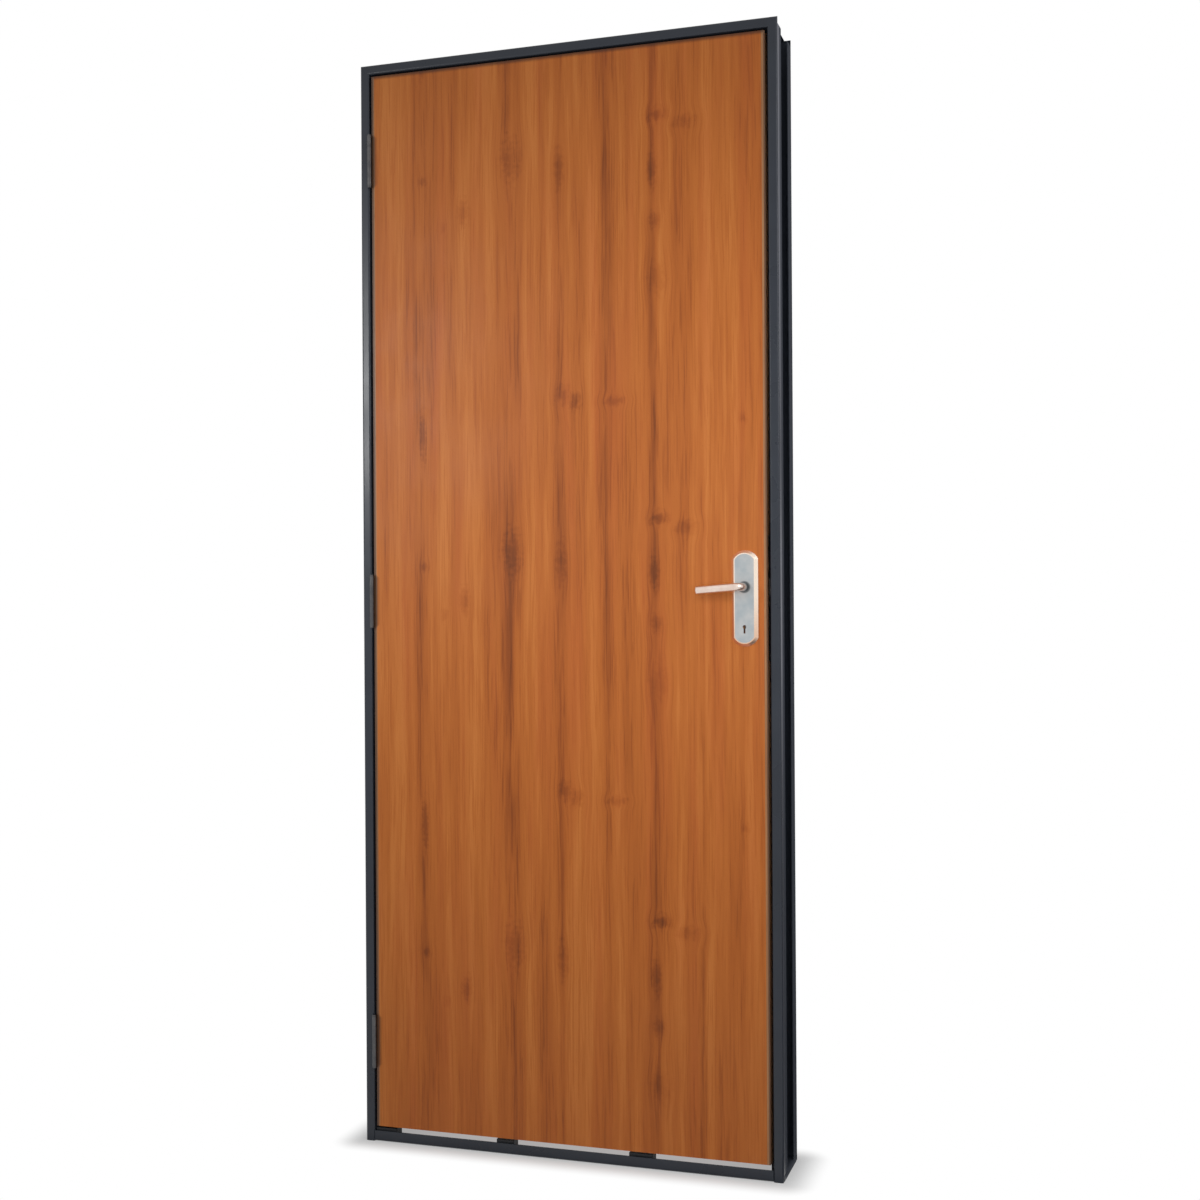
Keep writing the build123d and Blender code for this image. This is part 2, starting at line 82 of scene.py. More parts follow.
camera_data = bpy.data.cameras.new("camera")
camera_data.sensor_width = SENSOR_WIDTH
camera_data.lens = LENS
camera_data.shift_y = LENS_SHIFT
camera = bpy.data.objects.new("camera", camera_data)
camera.location = CAMERA_PLACE
camera.rotation_euler = (pi / 2, CAMERA_ROLL, CAMERA_TURN)
bpy.context.scene.collection.objects.link(camera)
bpy.context.scene.camera = camera
bpy.context.scene.view_settings.view_transform = "Standard"
print("camera", CAMERA_PLACE, "lens", LENS)

# %% [markdown]
# Finishes are built from shader nodes. A few short helpers keep the cells readable: one adds a node, one
# connects a value or sets a number, and the others wrap the nodes that every finish here needs. Colours
# are written as they look on a screen, from 0 to 255, and turned into the linear values that light uses.

# %% Helpers for shader nodes
def tint(red, green, blue):
    """A colour as seen on a screen, 0 to 255, as a linear colour with full opacity."""
    parts = []
    for part in (red, green, blue):
        share = part / 255
        parts.append(share / 12.92 if share <= 0.04045 else ((share + 0.055) / 1.055) ** 2.4)
    return (*parts, 1.0)


def node(tree, kind, **settings):
    """A new node of a kind, with its settings."""
    made = tree.nodes.new(kind)
    for name, value in settings.items():
        setattr(made, name, value)
    return made


def feed(tree, socket, value):
    """Links a socket to another node's output, or sets its number."""
    if isinstance(value, bpy.types.NodeSocket):
        tree.links.new(value, socket)
    else:
        socket.default_value = value


def maths(tree, operation, first, second=0.0, third=0.0, clamp=False):
    """One sum of two or three values."""
    made = node(tree, "ShaderNodeMath", operation=operation, use_clamp=clamp)
    for socket, value in zip(made.inputs, (first, second, third)):
        feed(tree, socket, value)
    return made.outputs[0]


def weighed(tree, base, *parts):
    """A base value plus some parts, each a changing value and the share of it that counts."""
    total = base
    for value, share in parts:
        total = maths(tree, "MULTIPLY_ADD", value, share, total)
    return total


def vectors(tree, operation, first, second=(0.0, 0.0, 0.0)):
    """One sum of two vectors."""
    made = node(tree, "ShaderNodeVectorMath", operation=operation)
    feed(tree, made.inputs[0], first)
    feed(tree, made.inputs[1], second)
    return made.outputs["Value"] if operation in ("LENGTH", "DOT_PRODUCT") else made.outputs["Vector"]


def split_xyz(tree, vector):
    """The three parts of a vector."""
    made = node(tree, "ShaderNodeSeparateXYZ")
    feed(tree, made.inputs[0], vector)
    return made.outputs[0], made.outputs[1], made.outputs[2]


def join_xyz(tree, x, y, z):
    """A vector from three values."""
    made = node(tree, "ShaderNodeCombineXYZ")
    for socket, value in zip(made.inputs, (x, y, z)):
        feed(tree, socket, value)
    return made.outputs[0]


def noise(tree, vector, scale=1.0, detail=2.0, roughness=0.5):
    """A cloudy value from 0 to 1."""
    made = node(tree, "ShaderNodeTexNoise")
    feed(tree, made.inputs["Vector"], vector)
    feed(tree, made.inputs["Scale"], scale)
    feed(tree, made.inputs["Detail"], detail)
    feed(tree, made.inputs["Roughness"], roughness)
    return made.outputs[0]


def spread(tree, value, low, high, new_low=0.0, new_high=1.0):
    """A value taken softly from one range to another, and kept inside it."""
    made = node(tree, "ShaderNodeMapRange", interpolation_type="SMOOTHSTEP")
    for socket, number in zip(made.inputs, (value, low, high, new_low, new_high)):
        feed(tree, socket, number)
    return made.outputs[0]


def ramp(tree, value, stops):
    """A colour that follows a value through some stops, each a place from 0 to 1 and a colour."""
    made = node(tree, "ShaderNodeValToRGB")
    elements = made.color_ramp.elements
    while len(elements) < len(stops):
        elements.new(0.5)
    for element, (place, colour) in zip(elements, stops):
        element.position = place
        element.color = colour
    feed(tree, made.inputs[0], value)
    return made.outputs[0]


def blended(tree, share, first, second, way="MIX"):
    """Two colours mixed by a share from 0 to 1."""
    made = node(tree, "ShaderNodeMix", data_type="RGBA", blend_type=way)
    feed(tree, made.inputs[0], share)
    feed(tree, made.inputs[6], first)
    feed(tree, made.inputs[7], second)
    return made.outputs[2]


def new_finish(name):
    """An empty finish: its material, its node tree, its shader and the point being coloured."""
    material = bpy.data.materials.new(name)
    material.use_nodes = True
    tree = material.node_tree
    shader = tree.nodes["Principled BSDF"]
    return material, tree, shader, node(tree, "ShaderNodeTexCoord").outputs["Object"]


def raise_surface(tree, shader, height, strength, distance):
    """Lets a height value lift the surface, for the light only."""
    bump = node(tree, "ShaderNodeBump")
    bump.inputs["Strength"].default_value = strength
    bump.inputs["Distance"].default_value = distance
    tree.links.new(height, bump.inputs["Height"])
    tree.links.new(bump.outputs["Normal"], shader.inputs["Normal"])


print("helpers ready")

# %% [markdown]
# The door was photographed on white. The floor is a plain pale sheet, and the white comes from the light
# path: what the camera sees straight, in a reflection or through glass is white at strength 1, while the
# door itself is lit by the lamps and by a much weaker sky. Near the door the floor keeps part of its real
# shading, so that a soft shadow ties the door to the ground. A few centimetres out it turns into the
# backdrop. The floor lies a hair below the sill, so that the two never share a plane.

# %% Floor and sky
FLOOR_REACH = 14.0
FLOOR_STEPS = 28
FLOOR_DEPTH = 0.0004
FLOOR_TONE = tint(232, 232, 232)
FLOOR_ROUGHNESS = 0.9
SHADE_NEAR = 0.68
SHADE_REACH = (0.0, 0.07)
SKY_STRENGTH = 0.27


def link_object(data, name):
    """An object in the scene for a mesh."""
    made = bpy.data.objects.new(name, data)
    bpy.context.scene.collection.objects.link(made)
    return made


def to_object(mesh, name):
    """An object in the scene from a mesh under construction, which is then freed."""
    data = bpy.data.meshes.new(name)
    mesh.to_mesh(data)
    mesh.free()
    return link_object(data, name)


def seen_share(tree):
    """1 where a ray comes from the camera, a mirror or glass, and 0 where it carries light."""
    path = node(tree, "ShaderNodeLightPath")
    seen = maths(tree, "MAXIMUM", path.outputs["Is Camera Ray"], path.outputs["Is Glossy Ray"])
    return maths(tree, "MAXIMUM", seen, path.outputs["Is Transmission Ray"])


def make_floor():
    """The floor sheet, just below the underside of the sill."""
    mesh = bmesh.new()
    bmesh.ops.create_grid(mesh, x_segments=FLOOR_STEPS, y_segments=FLOOR_STEPS, size=FLOOR_REACH)
    bmesh.ops.translate(mesh, verts=mesh.verts, vec=(0, 0, -FLOOR_DEPTH))
    floor = to_object(mesh, "floor")
    return floor


def floor_finish():
    """White paper that keeps a soft shadow near the door."""
    material, tree, shader, point = new_finish("studio floor")
    shader.inputs["Base Color"].default_value = FLOOR_TONE
    shader.inputs["Roughness"].default_value = FLOOR_ROUGHNESS
    shader.inputs["Specular IOR Level"].default_value = 0.0
    glow = node(tree, "ShaderNodeEmission")
    x, y, z = split_xyz(tree, point)
    middle = (frame_low.y + frame_high.y) / 2
    beside = maths(tree, "MAXIMUM", maths(tree, "SUBTRACT", maths(tree, "ABSOLUTE", x), frame_high.x), 0.0)
    along = maths(tree, "ABSOLUTE", maths(tree, "SUBTRACT", y, middle))
    along = maths(tree, "MAXIMUM", maths(tree, "SUBTRACT", along, frame_high.y - middle), 0.0)
    distance = vectors(tree, "LENGTH", join_xyz(tree, beside, along, 0.0))
    plain = spread(tree, distance, *SHADE_REACH, 1 - SHADE_NEAR, 1.0)
    share = maths(tree, "MULTIPLY", plain, seen_share(tree))
    mix = node(tree, "ShaderNodeMixShader")
    feed(tree, mix.inputs[0], share)
    tree.links.new(shader.outputs[0], mix.inputs[1])
    tree.links.new(glow.outputs[0], mix.inputs[2])
    tree.links.new(mix.outputs[0], tree.nodes["Material Output"].inputs["Surface"])
    return material


def make_sky():
    """A sky that is white to look at, and a weak even light to the door."""
    world = bpy.data.worlds.new("studio")
    world.use_nodes = True
    tree = world.node_tree
    background = tree.nodes["Background"]
    background.inputs["Color"].default_value = (1, 1, 1, 1)
    strength = weighed(tree, SKY_STRENGTH, (seen_share(tree), 1 - SKY_STRENGTH))
    feed(tree, background.inputs["Strength"], strength)
    bpy.context.scene.world = world


floor = make_floor()
floor.data.materials.append(floor_finish())
make_sky()
print("floor", 2 * FLOOR_REACH, "m wide, sky strength", SKY_STRENGTH)

# %% [markdown]
# Glossy paint would mirror too much white along the far side of the frame. A studio sets up a grey card for
# the paint to reflect, and so does this cell. Only reflections see the card, and it glows by itself, so its
# greys stay as they are set, whatever the lamps do. It is paler at two heights, which gives the far edge of
# the frame its two light stretches.

# %% Reflection card
CARD_X = (0.44, 4.2)
CARD_LINE = ((-0.1, 0.004), (0.6, 0.004), (2.3, 0.02), (2.6, 0.3), (2.6, 6.0))
CARD_TOP = 3.2
CARD_BLUE = 1.1
CARD_GLOW = (
    (0.00, 0.13),
    (0.14, 0.20),
    (0.31, 0.74),
    (0.40, 0.74),
    (0.50, 0.24),
    (0.60, 0.50),
    (0.72, 0.62),
)


def make_card():
    """A card beyond the door on the right, swept up from the floor, seen only in what reflects it."""
    mesh = bmesh.new()
    sides = [[mesh.verts.new((x, y, z)) for y, z in CARD_LINE] for x in CARD_X]
    for step in range(len(CARD_LINE) - 1):
        mesh.faces.new((sides[0][step], sides[1][step], sides[1][step + 1], sides[0][step + 1]))
    card = to_object(mesh, "dark_card")
    for ray in ("camera", "diffuse", "transmission", "shadow"):
        setattr(card, "visible_" + ray, False)
    material, tree, shader, point = new_finish("card finish")
    height = maths(tree, "DIVIDE", split_xyz(tree, point)[2], CARD_TOP, clamp=True)
    glow = node(tree, "ShaderNodeEmission")
    stops = [(at, (grey, grey, grey * CARD_BLUE, 1.0)) for at, grey in CARD_GLOW]
    feed(tree, glow.inputs["Color"], ramp(tree, height, stops))
    tree.links.new(glow.outputs[0], tree.nodes["Material Output"].inputs["Surface"])
    card.data.materials.append(material)


make_card()
print("card with", len(CARD_GLOW), "greys from the floor to", CARD_TOP, "m")

# %% [markdown]
# Three soft lamps shape the door. A large one in front and to the right lights the middle of the leaf and
# fades toward its ends, because it stands close and a grid narrows its fan of light. It is kept out of
# reflections, as a filter does, or the plates would mirror it. A tall narrow one stands in front on the
# left: the semi-gloss paint of the left jamb shows it as a pale stretch at shoulder height. A third, far
# out to the right of the door, draws a thin bright line along the rounded edge of the right jamb.

# %% Lamps
LAMPS = {
    "key": {
        "place": (0.60, -1.60, 1.28),
        "aim": (0.27, 0.0, 1.20),
        "size": (1.2, 0.8),
        "power": 7.4,
        "fan": 120,
    },
    "left": {
        "place": (-1.42, -2.05, 1.83),
        "aim": (-0.42, 0.0, 1.30),
        "size": (0.28, 0.56),
        "power": 1.6,
        "fan": 60,
    },
    "edge": {
        "place": (1.9, -0.55, 2.0),
        "aim": (0.43, 0.0, 1.5),
        "size": (0.5, 1.1),
        "power": 8.0,
        "fan": 180,
    },
}


def make_lamp(name, place, aim, size, power, fan):
    """A rectangular soft lamp that faces a point; a grid keeps its light inside a fan of some degrees."""
    data = bpy.data.lights.new(name, "AREA")
    data.shape = "RECTANGLE"
    data.size, data.size_y = size
    data.energy = power
    data.spread = radians(fan)
    lamp = bpy.data.objects.new(name, data)
    lamp.location = place
    lamp.rotation_euler = (Vector(aim) - Vector(place)).to_track_quat("-Z", "Y").to_euler()
    bpy.context.scene.collection.objects.link(lamp)
    return lamp


for lamp_name, lamp_values in LAMPS.items():
    made_lamp = make_lamp(lamp_name, **lamp_values)
    made_lamp.visible_glossy = lamp_name != "key"
    print("lamp", lamp_name, lamp_values["power"], "W")

# %% [markdown]
# Wood is never one colour. Its grain is a set of long thin lines, and between them lie short dark pores.
# Both come from one cloudy noise that is squeezed across the grain and stretched along it. Because the
# veneer, the edge strips and the softwood inside all need this, it is a node group: it is built once, and
# each wood gives it its own line spacing and line length. The grain runs along the third axis.

# %% Node group for grain lines
def group_tree(name, inputs, outputs):
    """An empty node group with named sockets: its tree, its inputs and its outputs node."""
    tree = bpy.data.node_groups.new(name, "ShaderNodeTree")
    for label, kind, value in inputs:
        socket = tree.interface.new_socket(label, in_out="INPUT", socket_type=kind)
        if value is not None:
            socket.default_value = value
    for label, kind in outputs:
        tree.interface.new_socket(label, in_out="OUTPUT", socket_type=kind)
    return tree, node(tree, "NodeGroupInput").outputs, node(tree, "NodeGroupOutput").inputs


def place_group(tree, group, **values):
    """A node group placed in a finish with its own values; underscores in names stand for spaces."""
    made = node(tree, "ShaderNodeGroup", node_tree=group)
    for name, value in values.items():
        feed(tree, made.inputs[name.replace("_", " ")], value)
    return made.outputs


FLOAT, VECTOR = "NodeSocketFloat", "NodeSocketVector"
CLOUD_RANGE = (0.3, 0.7)
PORE_RANGE = (0.6, 0.78)


def make_grain_group():
    """Long lines, fine lines and short pores, each from 0 to 1."""
    inputs = [("Point", VECTOR, None), ("Spacing", FLOAT, 0.006), ("Length", FLOAT, 0.4)]
    outputs = [("Lines", FLOAT), ("Fine", FLOAT), ("Pores", FLOAT)]
    tree, given, result = group_tree("grain lines", inputs, outputs)
    x, y, z = split_xyz(tree, given["Point"])

    def stretched(across, along, seed, detail, roughness=0.55):
        """The cloudy noise with its own share of the spacing and of the length."""
        wide = maths(tree, "MULTIPLY", given["Spacing"], across)
        long = maths(tree, "MULTIPLY", given["Length"], along)
        place = join_xyz(
            tree,
            maths(tree, "DIVIDE", x, wide),
            maths(tree, "ADD", maths(tree, "DIVIDE", y, wide), seed),
            maths(tree, "DIVIDE", z, long),
        )
        return noise(tree, place, 1.0, detail, roughness)

    lines = stretched(across=1.0, along=1.0, seed=0.0, detail=3.0, roughness=0.6)
    fine = stretched(across=0.3, along=0.45, seed=7.3, detail=2.0)
    pores = stretched(across=0.16, along=0.05, seed=13.1, detail=1.0)
    feed(tree, result["Lines"], spread(tree, lines, *CLOUD_RANGE))
    feed(tree, result["Fine"], spread(tree, fine, *CLOUD_RANGE))
    feed(tree, result["Pores"], spread(tree, pores, *PORE_RANGE))
    return tree


GRAIN = make_grain_group()
print("group", GRAIN.name)

# %% [markdown]
# Where a twig once grew, the grain darkens and bends round a small eye. One eye is a soft oval: it gives
# a mask that is 1 at its centre, and a push that moves the grain lines aside. A second noise frays the
# oval, because no eye has a clean outline. The group holds one eye, and the veneer places it once for each.

# %% Node group for one grain eye
FRAY_SCALE = 95.0
FRAY = 1.9
EYE_FADE = (0.10, 1.45)
PUSH_REACH = 2.6
PUSH = -0.38


def make_eye_group():
    """A dark oval mark and the sideways push that it gives the grain."""
    inputs = [("Point", VECTOR, None), ("Centre", VECTOR, None), ("Size", VECTOR, None)]
    tree, given, result = group_tree("grain eye", inputs, [("Mask", FLOAT), ("Push", FLOAT)])
    offset = vectors(tree, "SUBTRACT", given["Point"], given["Centre"])
    ragged = noise(tree, given["Point"], FRAY_SCALE, 3.0)
    share = vectors(tree, "DIVIDE", offset, given["Size"])
    distance = vectors(tree, "LENGTH", share)
    uneven = weighed(tree, distance, (maths(tree, "SUBTRACT", ragged, 0.5), FRAY))
    feed(tree, result["Mask"], spread(tree, uneven, *EYE_FADE, 1.0, 0.0))
    near = spread(tree, distance, 0.0, PUSH_REACH, 1.0, 0.0)
    side = split_xyz(tree, offset)[0]
    feed(tree, result["Push"], maths(tree, "MULTIPLY", maths(tree, "MULTIPLY", side, near), PUSH))
    return tree


EYE = make_eye_group()
print("group", EYE.name)

# %% [markdown]
# Worked metal shows the direction in which it was rubbed. Thin scratches run one way, so the noise is
# squeezed hard across that direction. The group gives a height for the surface and a slow patchy value
# that makes the polish uneven. Handled and painted surfaces use the patchy value too.

# %% Node group for rubbed metal
def make_rubbed_group():
    """Fine one-way scratches and slow patches, each from 0 to 1."""
    inputs = [
        ("Point", VECTOR, None),
        ("Scratch", FLOAT, 0.0003),
        ("Run", FLOAT, 0.03),
        ("Patch", FLOAT, 0.05),
    ]
    outputs = [("Scratches", FLOAT), ("Patches", FLOAT)]
    tree, given, result = group_tree("rubbed surface", inputs, outputs)
    x, y, z = split_xyz(tree, given["Point"])
    place = join_xyz(
        tree,
        maths(tree, "DIVIDE", x, given["Scratch"]),
        maths(tree, "DIVIDE", y, given["Scratch"]),
        maths(tree, "DIVIDE", z, given["Run"]),
    )
    feed(tree, result["Scratches"], noise(tree, place, 1.0, 3.0))
    size = join_xyz(tree, given["Patch"], given["Patch"], given["Patch"])
    slow = noise(tree, vectors(tree, "DIVIDE", given["Point"], size), 1.0, 4.0, 0.55)
    feed(tree, result["Patches"], spread(tree, slow, *CLOUD_RANGE))
    return tree


RUBBED = make_rubbed_group()
print("group", RUBBED.name)

# %% [markdown]
# Edges wear first. A rounded copy of the surface direction differs from the true one only close to an
# edge, so the difference between the two makes a mask for worn paint and bright metal. The group takes
# how wide the edge is and breaks the mask up, because wear is never even.

# %% Node group for worn edges
BEVEL_SAMPLES = 4
BEND_RANGE = (0.995, 0.86)
BREAK_RANGE = (0.38, 0.66)


def make_edge_group():
    """1 on worn edges and 0 on open faces."""
    inputs = [("Point", VECTOR, None), ("Width", FLOAT, 0.0006), ("Ragged", FLOAT, 60.0)]
    tree, given, result = group_tree("worn edges", inputs, [("Edge", FLOAT)])
    rounded = node(tree, "ShaderNodeBevel", samples=BEVEL_SAMPLES)
    feed(tree, rounded.inputs["Radius"], given["Width"])
    true_way = node(tree, "ShaderNodeNewGeometry").outputs["Normal"]
    same = vectors(tree, "DOT_PRODUCT", rounded.outputs[0], true_way)
    edge = spread(tree, same, *BEND_RANGE)
    broken = spread(tree, noise(tree, given["Point"], given["Ragged"], 3.0, 0.6), *BREAK_RANGE)
    feed(tree, result["Edge"], maths(tree, "MULTIPLY", edge, broken))
    return tree


EDGES = make_edge_group()
print("group", EDGES.name)

# %% [markdown]
# The leaf is faced with a reddish-brown veneer, laid with its grain upright. From a distance one sees a
# few darker stripes from top to bottom, then many fine lines, then small eyes. The same sheet of figure
# comes back every three quarters of a metre, so the eyes repeat up the door at that step. This cell lists
# the stripes, each with its place across the leaf, half its width and its depth. It lists the eyes too,
# each with its place across and up, half its width and height, and its depth.

# %% Stripes and eyes of the veneer
FIGURE_STEP = 0.763
FIGURE_START = 0.05
STRIPES = (
    (-0.352, 0.010, 0.30),
    (-0.296, 0.018, 0.75),
    (-0.222, 0.012, 0.30),
    (-0.105, 0.028, 0.85),
    (-0.004, 0.014, 0.55),
    (0.090, 0.020, 0.60),
    (0.183, 0.012, 0.60),
    (0.276, 0.009, 0.50),
    (0.352, 0.008, 0.45),
)
EYES = (
    (0.194, 0.470, 0.019, 0.014, 0.82),
    (0.246, 0.452, 0.022, 0.016, 0.45),
    (0.004, 0.712, 0.016, 0.022, 0.62),
    (0.026, 0.700, 0.014, 0.020, 0.62),
    (0.107, 0.696, 0.020, 0.010, 0.66),
    (-0.204, 0.318, 0.011, 0.028, 0.75),
    (-0.246, 0.290, 0.008, 0.012, 0.40),
    (0.183, 0.366, 0.010, 0.032, 0.60),
    (0.187, 0.270, 0.013, 0.018, 0.50),
    (0.191, 0.160, 0.018, 0.030, 0.35),
    (-0.104, 0.409, 0.020, 0.045, 0.60),
    (-0.003, 0.390, 0.012, 0.040, 0.50),
    (0.357, 0.654, 0.008, 0.011, 0.50),
    (-0.291, 0.640, 0.008, 0.050, 0.60),
    (-0.290, 0.385, 0.009, 0.010, 0.55),
)


def stripe_stops():
    """Dark stripes across the leaf as stops of a ramp, from one edge strip to the other."""
    width = 2 * leaf_edge
    stops = [(0.0, (0, 0, 0, 1))]
    for centre, half, depth in STRIPES:
        for place, value in ((centre - half, 0.0), (centre, depth), (centre + half, 0.0)):
            stops.append(((place + leaf_edge) / width, (value, value, value, 1)))
    return sorted(stops, key=lambda stop: stop[0])


def grain_eyes(tree, point):
    """All the eyes at once: the darkest mask, and the sum of the pushes on the grain."""
    x, y, z = split_xyz(tree, point)
    step = maths(tree, "WRAP", z, FIGURE_START + FIGURE_STEP, FIGURE_START)
    folded = join_xyz(tree, x, 0.0, step)
    mask, push = 0.0, 0.0
    for across, up, half_width, half_height, depth in EYES:
        up = FIGURE_START + (up - FIGURE_START) % FIGURE_STEP
        eye = place_group(
            tree, EYE, Point=folded, Centre=(across, 0, up), Size=(half_width, 1.0, half_height)
        )
        mask = maths(tree, "MAXIMUM", mask, maths(tree, "MULTIPLY", eye["Mask"], depth))
        push = maths(tree, "ADD", push, eye["Push"])
    return mask, push


print("veneer figure of", len(STRIPES), "stripes and", len(EYES), "eyes, every", FIGURE_STEP, "m")

# %% [markdown]
# Close to the gap round the leaf the wood is darkened with painted shade: the shadow of the gap and of the
# frame's head, and beside each hinge the shadow of its knuckle. The painted shade is drawn from the distance
# to the edge. It is a few millimetres wide along both sides, wider beside each hinge, and nearly a centimetre
# wide at the top.

# %% Painted shade round the edges of the leaf
PAINTED_SHADE_TONE = tint(52, 34, 26)
PAINTED_SHADE_SIZES = {
    "hinge_side": (0.0030, 0.0060),
    "hinge": 0.008,
    "lock_side": (0.0008, 0.0045),
    "top": (0.001, 0.009),
    "depth": 0.80,
}
HINGE_SHARE = (0.45, 0.55)


def painted_edge_shade(tree, point, colour):
    """A colour darkened with painted shade close to the top and the long edges of the leaf."""
    x, y, z = split_xyz(tree, point)
    hinge_shadow_share = 0.0
    for low, high in hinge_heights:
        off_middle = maths(tree, "ABSOLUTE", maths(tree, "SUBTRACT", z, (low + high) / 2))
        full, none = ((high - low) * share for share in HINGE_SHARE)
        hinge_shadow_share = maths(tree, "MAXIMUM", hinge_shadow_share, spread(tree, off_middle, full, none, 1.0, 0.0))
    start, end = PAINTED_SHADE_SIZES["hinge_side"]
    # Beside each hinge the painted shade reaches farther: it is the painted shadow of the knuckle.
    reach = weighed(tree, end, (hinge_shadow_share, PAINTED_SHADE_SIZES["hinge"]))
    hinge_side = spread(tree, maths(tree, "ADD", x, leaf_edge), start, reach, 1.0, 0.0)
    lock_side = spread(tree, maths(tree, "SUBTRACT", leaf_edge, x), *PAINTED_SHADE_SIZES["lock_side"], 1.0, 0.0)
    top = spread(tree, maths(tree, "SUBTRACT", leaf_top, z), *PAINTED_SHADE_SIZES["top"], 1.0, 0.0)
    share = maths(tree, "MAXIMUM", maths(tree, "MAXIMUM", hinge_side, lock_side), top)
    return blended(tree, maths(tree, "MULTIPLY", share, PAINTED_SHADE_SIZES["depth"]), colour, PAINTED_SHADE_TONE)


print("dark margin of", PAINTED_SHADE_SIZES["top"][1] * 1000, "mm at the top")

# %% [markdown]
# Now the veneer itself. The grain group is placed three times, for broad bands, for lines and for close
# lines, and their shares add up to one tone, which the stripes and eyes then darken. A slow noise bends the
# point first, so that all the lines wander together, as they do in a board. A ramp turns the tone into the
# wood's colours, a redder cast drifts over some of it, and a satin lacquer with open pores lies over it all.

# %% Veneer
VENEER_GRAIN = {
    "bands": {"Spacing": 0.034, "Length": 0.95},
    "lines": {"Spacing": 0.012, "Length": 0.28},
    "close": {"Spacing": 0.0048, "Length": 0.10},
}
VENEER_BASE = 0.42
VENEER_SHARES = {
    "bands": 0.44,
    "lines": 0.15,
    "close": 0.06,
    "streaks": -0.16,
    "stripes": -0.56,
    "eyes": -0.46,
}
VENEER_TONES = (
    (0.00, tint(112, 56, 22)),
    (0.30, tint(150, 78, 31)),
    (0.55, tint(178, 98, 41)),
    (0.78, tint(189, 108, 47)),
    (1.00, tint(202, 122, 58)),
)
RED_CAST = tint(186, 94, 48)
RED_RANGE = (0.45, 0.75, 0.0, 0.30)
PORE_TONE = tint(96, 48, 22)
PORE_SHARE = 0.18
WANDER = 0.012
STREAK_RANGE = (0.02, 0.42, 1.0, 0.0)
FADING_RANGE = (0.28, 0.66, 0.25, 1.0)
LACQUER_ROUGH = 0.40
LACQUER_SHINE = 0.26


def squeezed_noise(tree, x, z, across, along, layer, detail):
    """A cloudy value, its clouds squeezed across the grain and drawn out along it, on a layer of its own."""
    place = join_xyz(tree, maths(tree, "MULTIPLY", x, across), layer, maths(tree, "MULTIPLY", z, along))
    return noise(tree, place, 1.0, detail)


def veneer_colour(tree, layers, x, bent_x, z, mask):
    """The veneer's colour before its pores and its dark margin."""
    across = maths(tree, "DIVIDE", maths(tree, "ADD", bent_x, leaf_edge), 2 * leaf_edge)
    fading = squeezed_noise(tree, x, z, across=16.0, along=3.4, layer=3.0, detail=3.0)
    parts = {
        "bands": layers["bands"]["Lines"],
        "lines": layers["lines"]["Lines"],
        "close": layers["close"]["Lines"],
        "streaks": spread(tree, layers["lines"]["Fine"], *STREAK_RANGE),
        "stripes": maths(
            tree, "MULTIPLY", ramp(tree, across, stripe_stops()), spread(tree, fading, *FADING_RANGE)
        ),
        "eyes": mask,
    }
    tone = weighed(tree, VENEER_BASE, *((part, VENEER_SHARES[name]) for name, part in parts.items()))
    cast = squeezed_noise(tree, bent_x, z, across=26.0, along=1.7, layer=9.0, detail=2.0)
    return blended(tree, spread(tree, cast, *RED_RANGE), ramp(tree, tone, VENEER_TONES), RED_CAST)


def veneer_finish():
    """Reddish-brown straight-grained veneer under satin lacquer."""
    material, tree, shader, point = new_finish("veneer finish")
    mask, push = grain_eyes(tree, point)
    x, y, z = split_xyz(tree, point)
    slow = squeezed_noise(tree, x, z, across=7.0, along=2.3, layer=y, detail=3.0)
    wander = maths(tree, "MULTIPLY", maths(tree, "SUBTRACT", slow, 0.5), WANDER)
    bent_x = maths(tree, "ADD", maths(tree, "ADD", x, push), wander)
    bent = join_xyz(tree, bent_x, y, z)
    layers = {name: place_group(tree, GRAIN, Point=bent, **sizes) for name, sizes in VENEER_GRAIN.items()}
    close = layers["close"]
    colour = veneer_colour(tree, layers, x, bent_x, z, mask)
    colour = blended(tree, maths(tree, "MULTIPLY", close["Pores"], PORE_SHARE), colour, PORE_TONE)
    # Painted shade: the veneer darkens near the leaf's edges, for the shadow of the gap, the frame's head and
    # the hinges.
    feed(tree, shader.inputs["Base Color"], painted_edge_shade(tree, point, colour))

    worn = place_group(tree, RUBBED, Point=point, Scratch=0.002, Run=0.2, Patch=0.16)
    dull = weighed(tree, LACQUER_ROUGH, (worn["Patches"], 0.08), (close["Pores"], 0.12))
    feed(tree, shader.inputs["Roughness"], dull)
    shader.inputs["Specular IOR Level"].default_value = LACQUER_SHINE
    height = weighed(tree, close["Fine"], (close["Pores"], -0.8))
    raise_surface(tree, shader, height, strength=0.25, distance=0.00012)
    return material


finishes = {"veneer": veneer_finish()}
print("veneer with", len(VENEER_GRAIN), "layers of grain")

# %% [markdown]
# The long edges of the leaf are solid strips of a paler wood. They show as a thin light line beside the
# veneer, and as a full face when the door stands open. The grain group gives them closer lines, and a dark
# hairline of glue marks the joint with the veneer. On the front they share the painted shade at the leaf's
# edges.

# %% Edge strips
LIPPING_TONES = ((0.0, tint(130, 88, 58)), (0.5, tint(162, 114, 76)), (1.0, tint(182, 134, 92)))
GLUE_TONE = tint(88, 52, 30)
GLUE_WIDTH = 0.00035
GLUE_SHARE = 0.8
FRONT_BAND = 0.003
STRIP_ROUGH = 0.40
STRIP_SHINE = 0.35


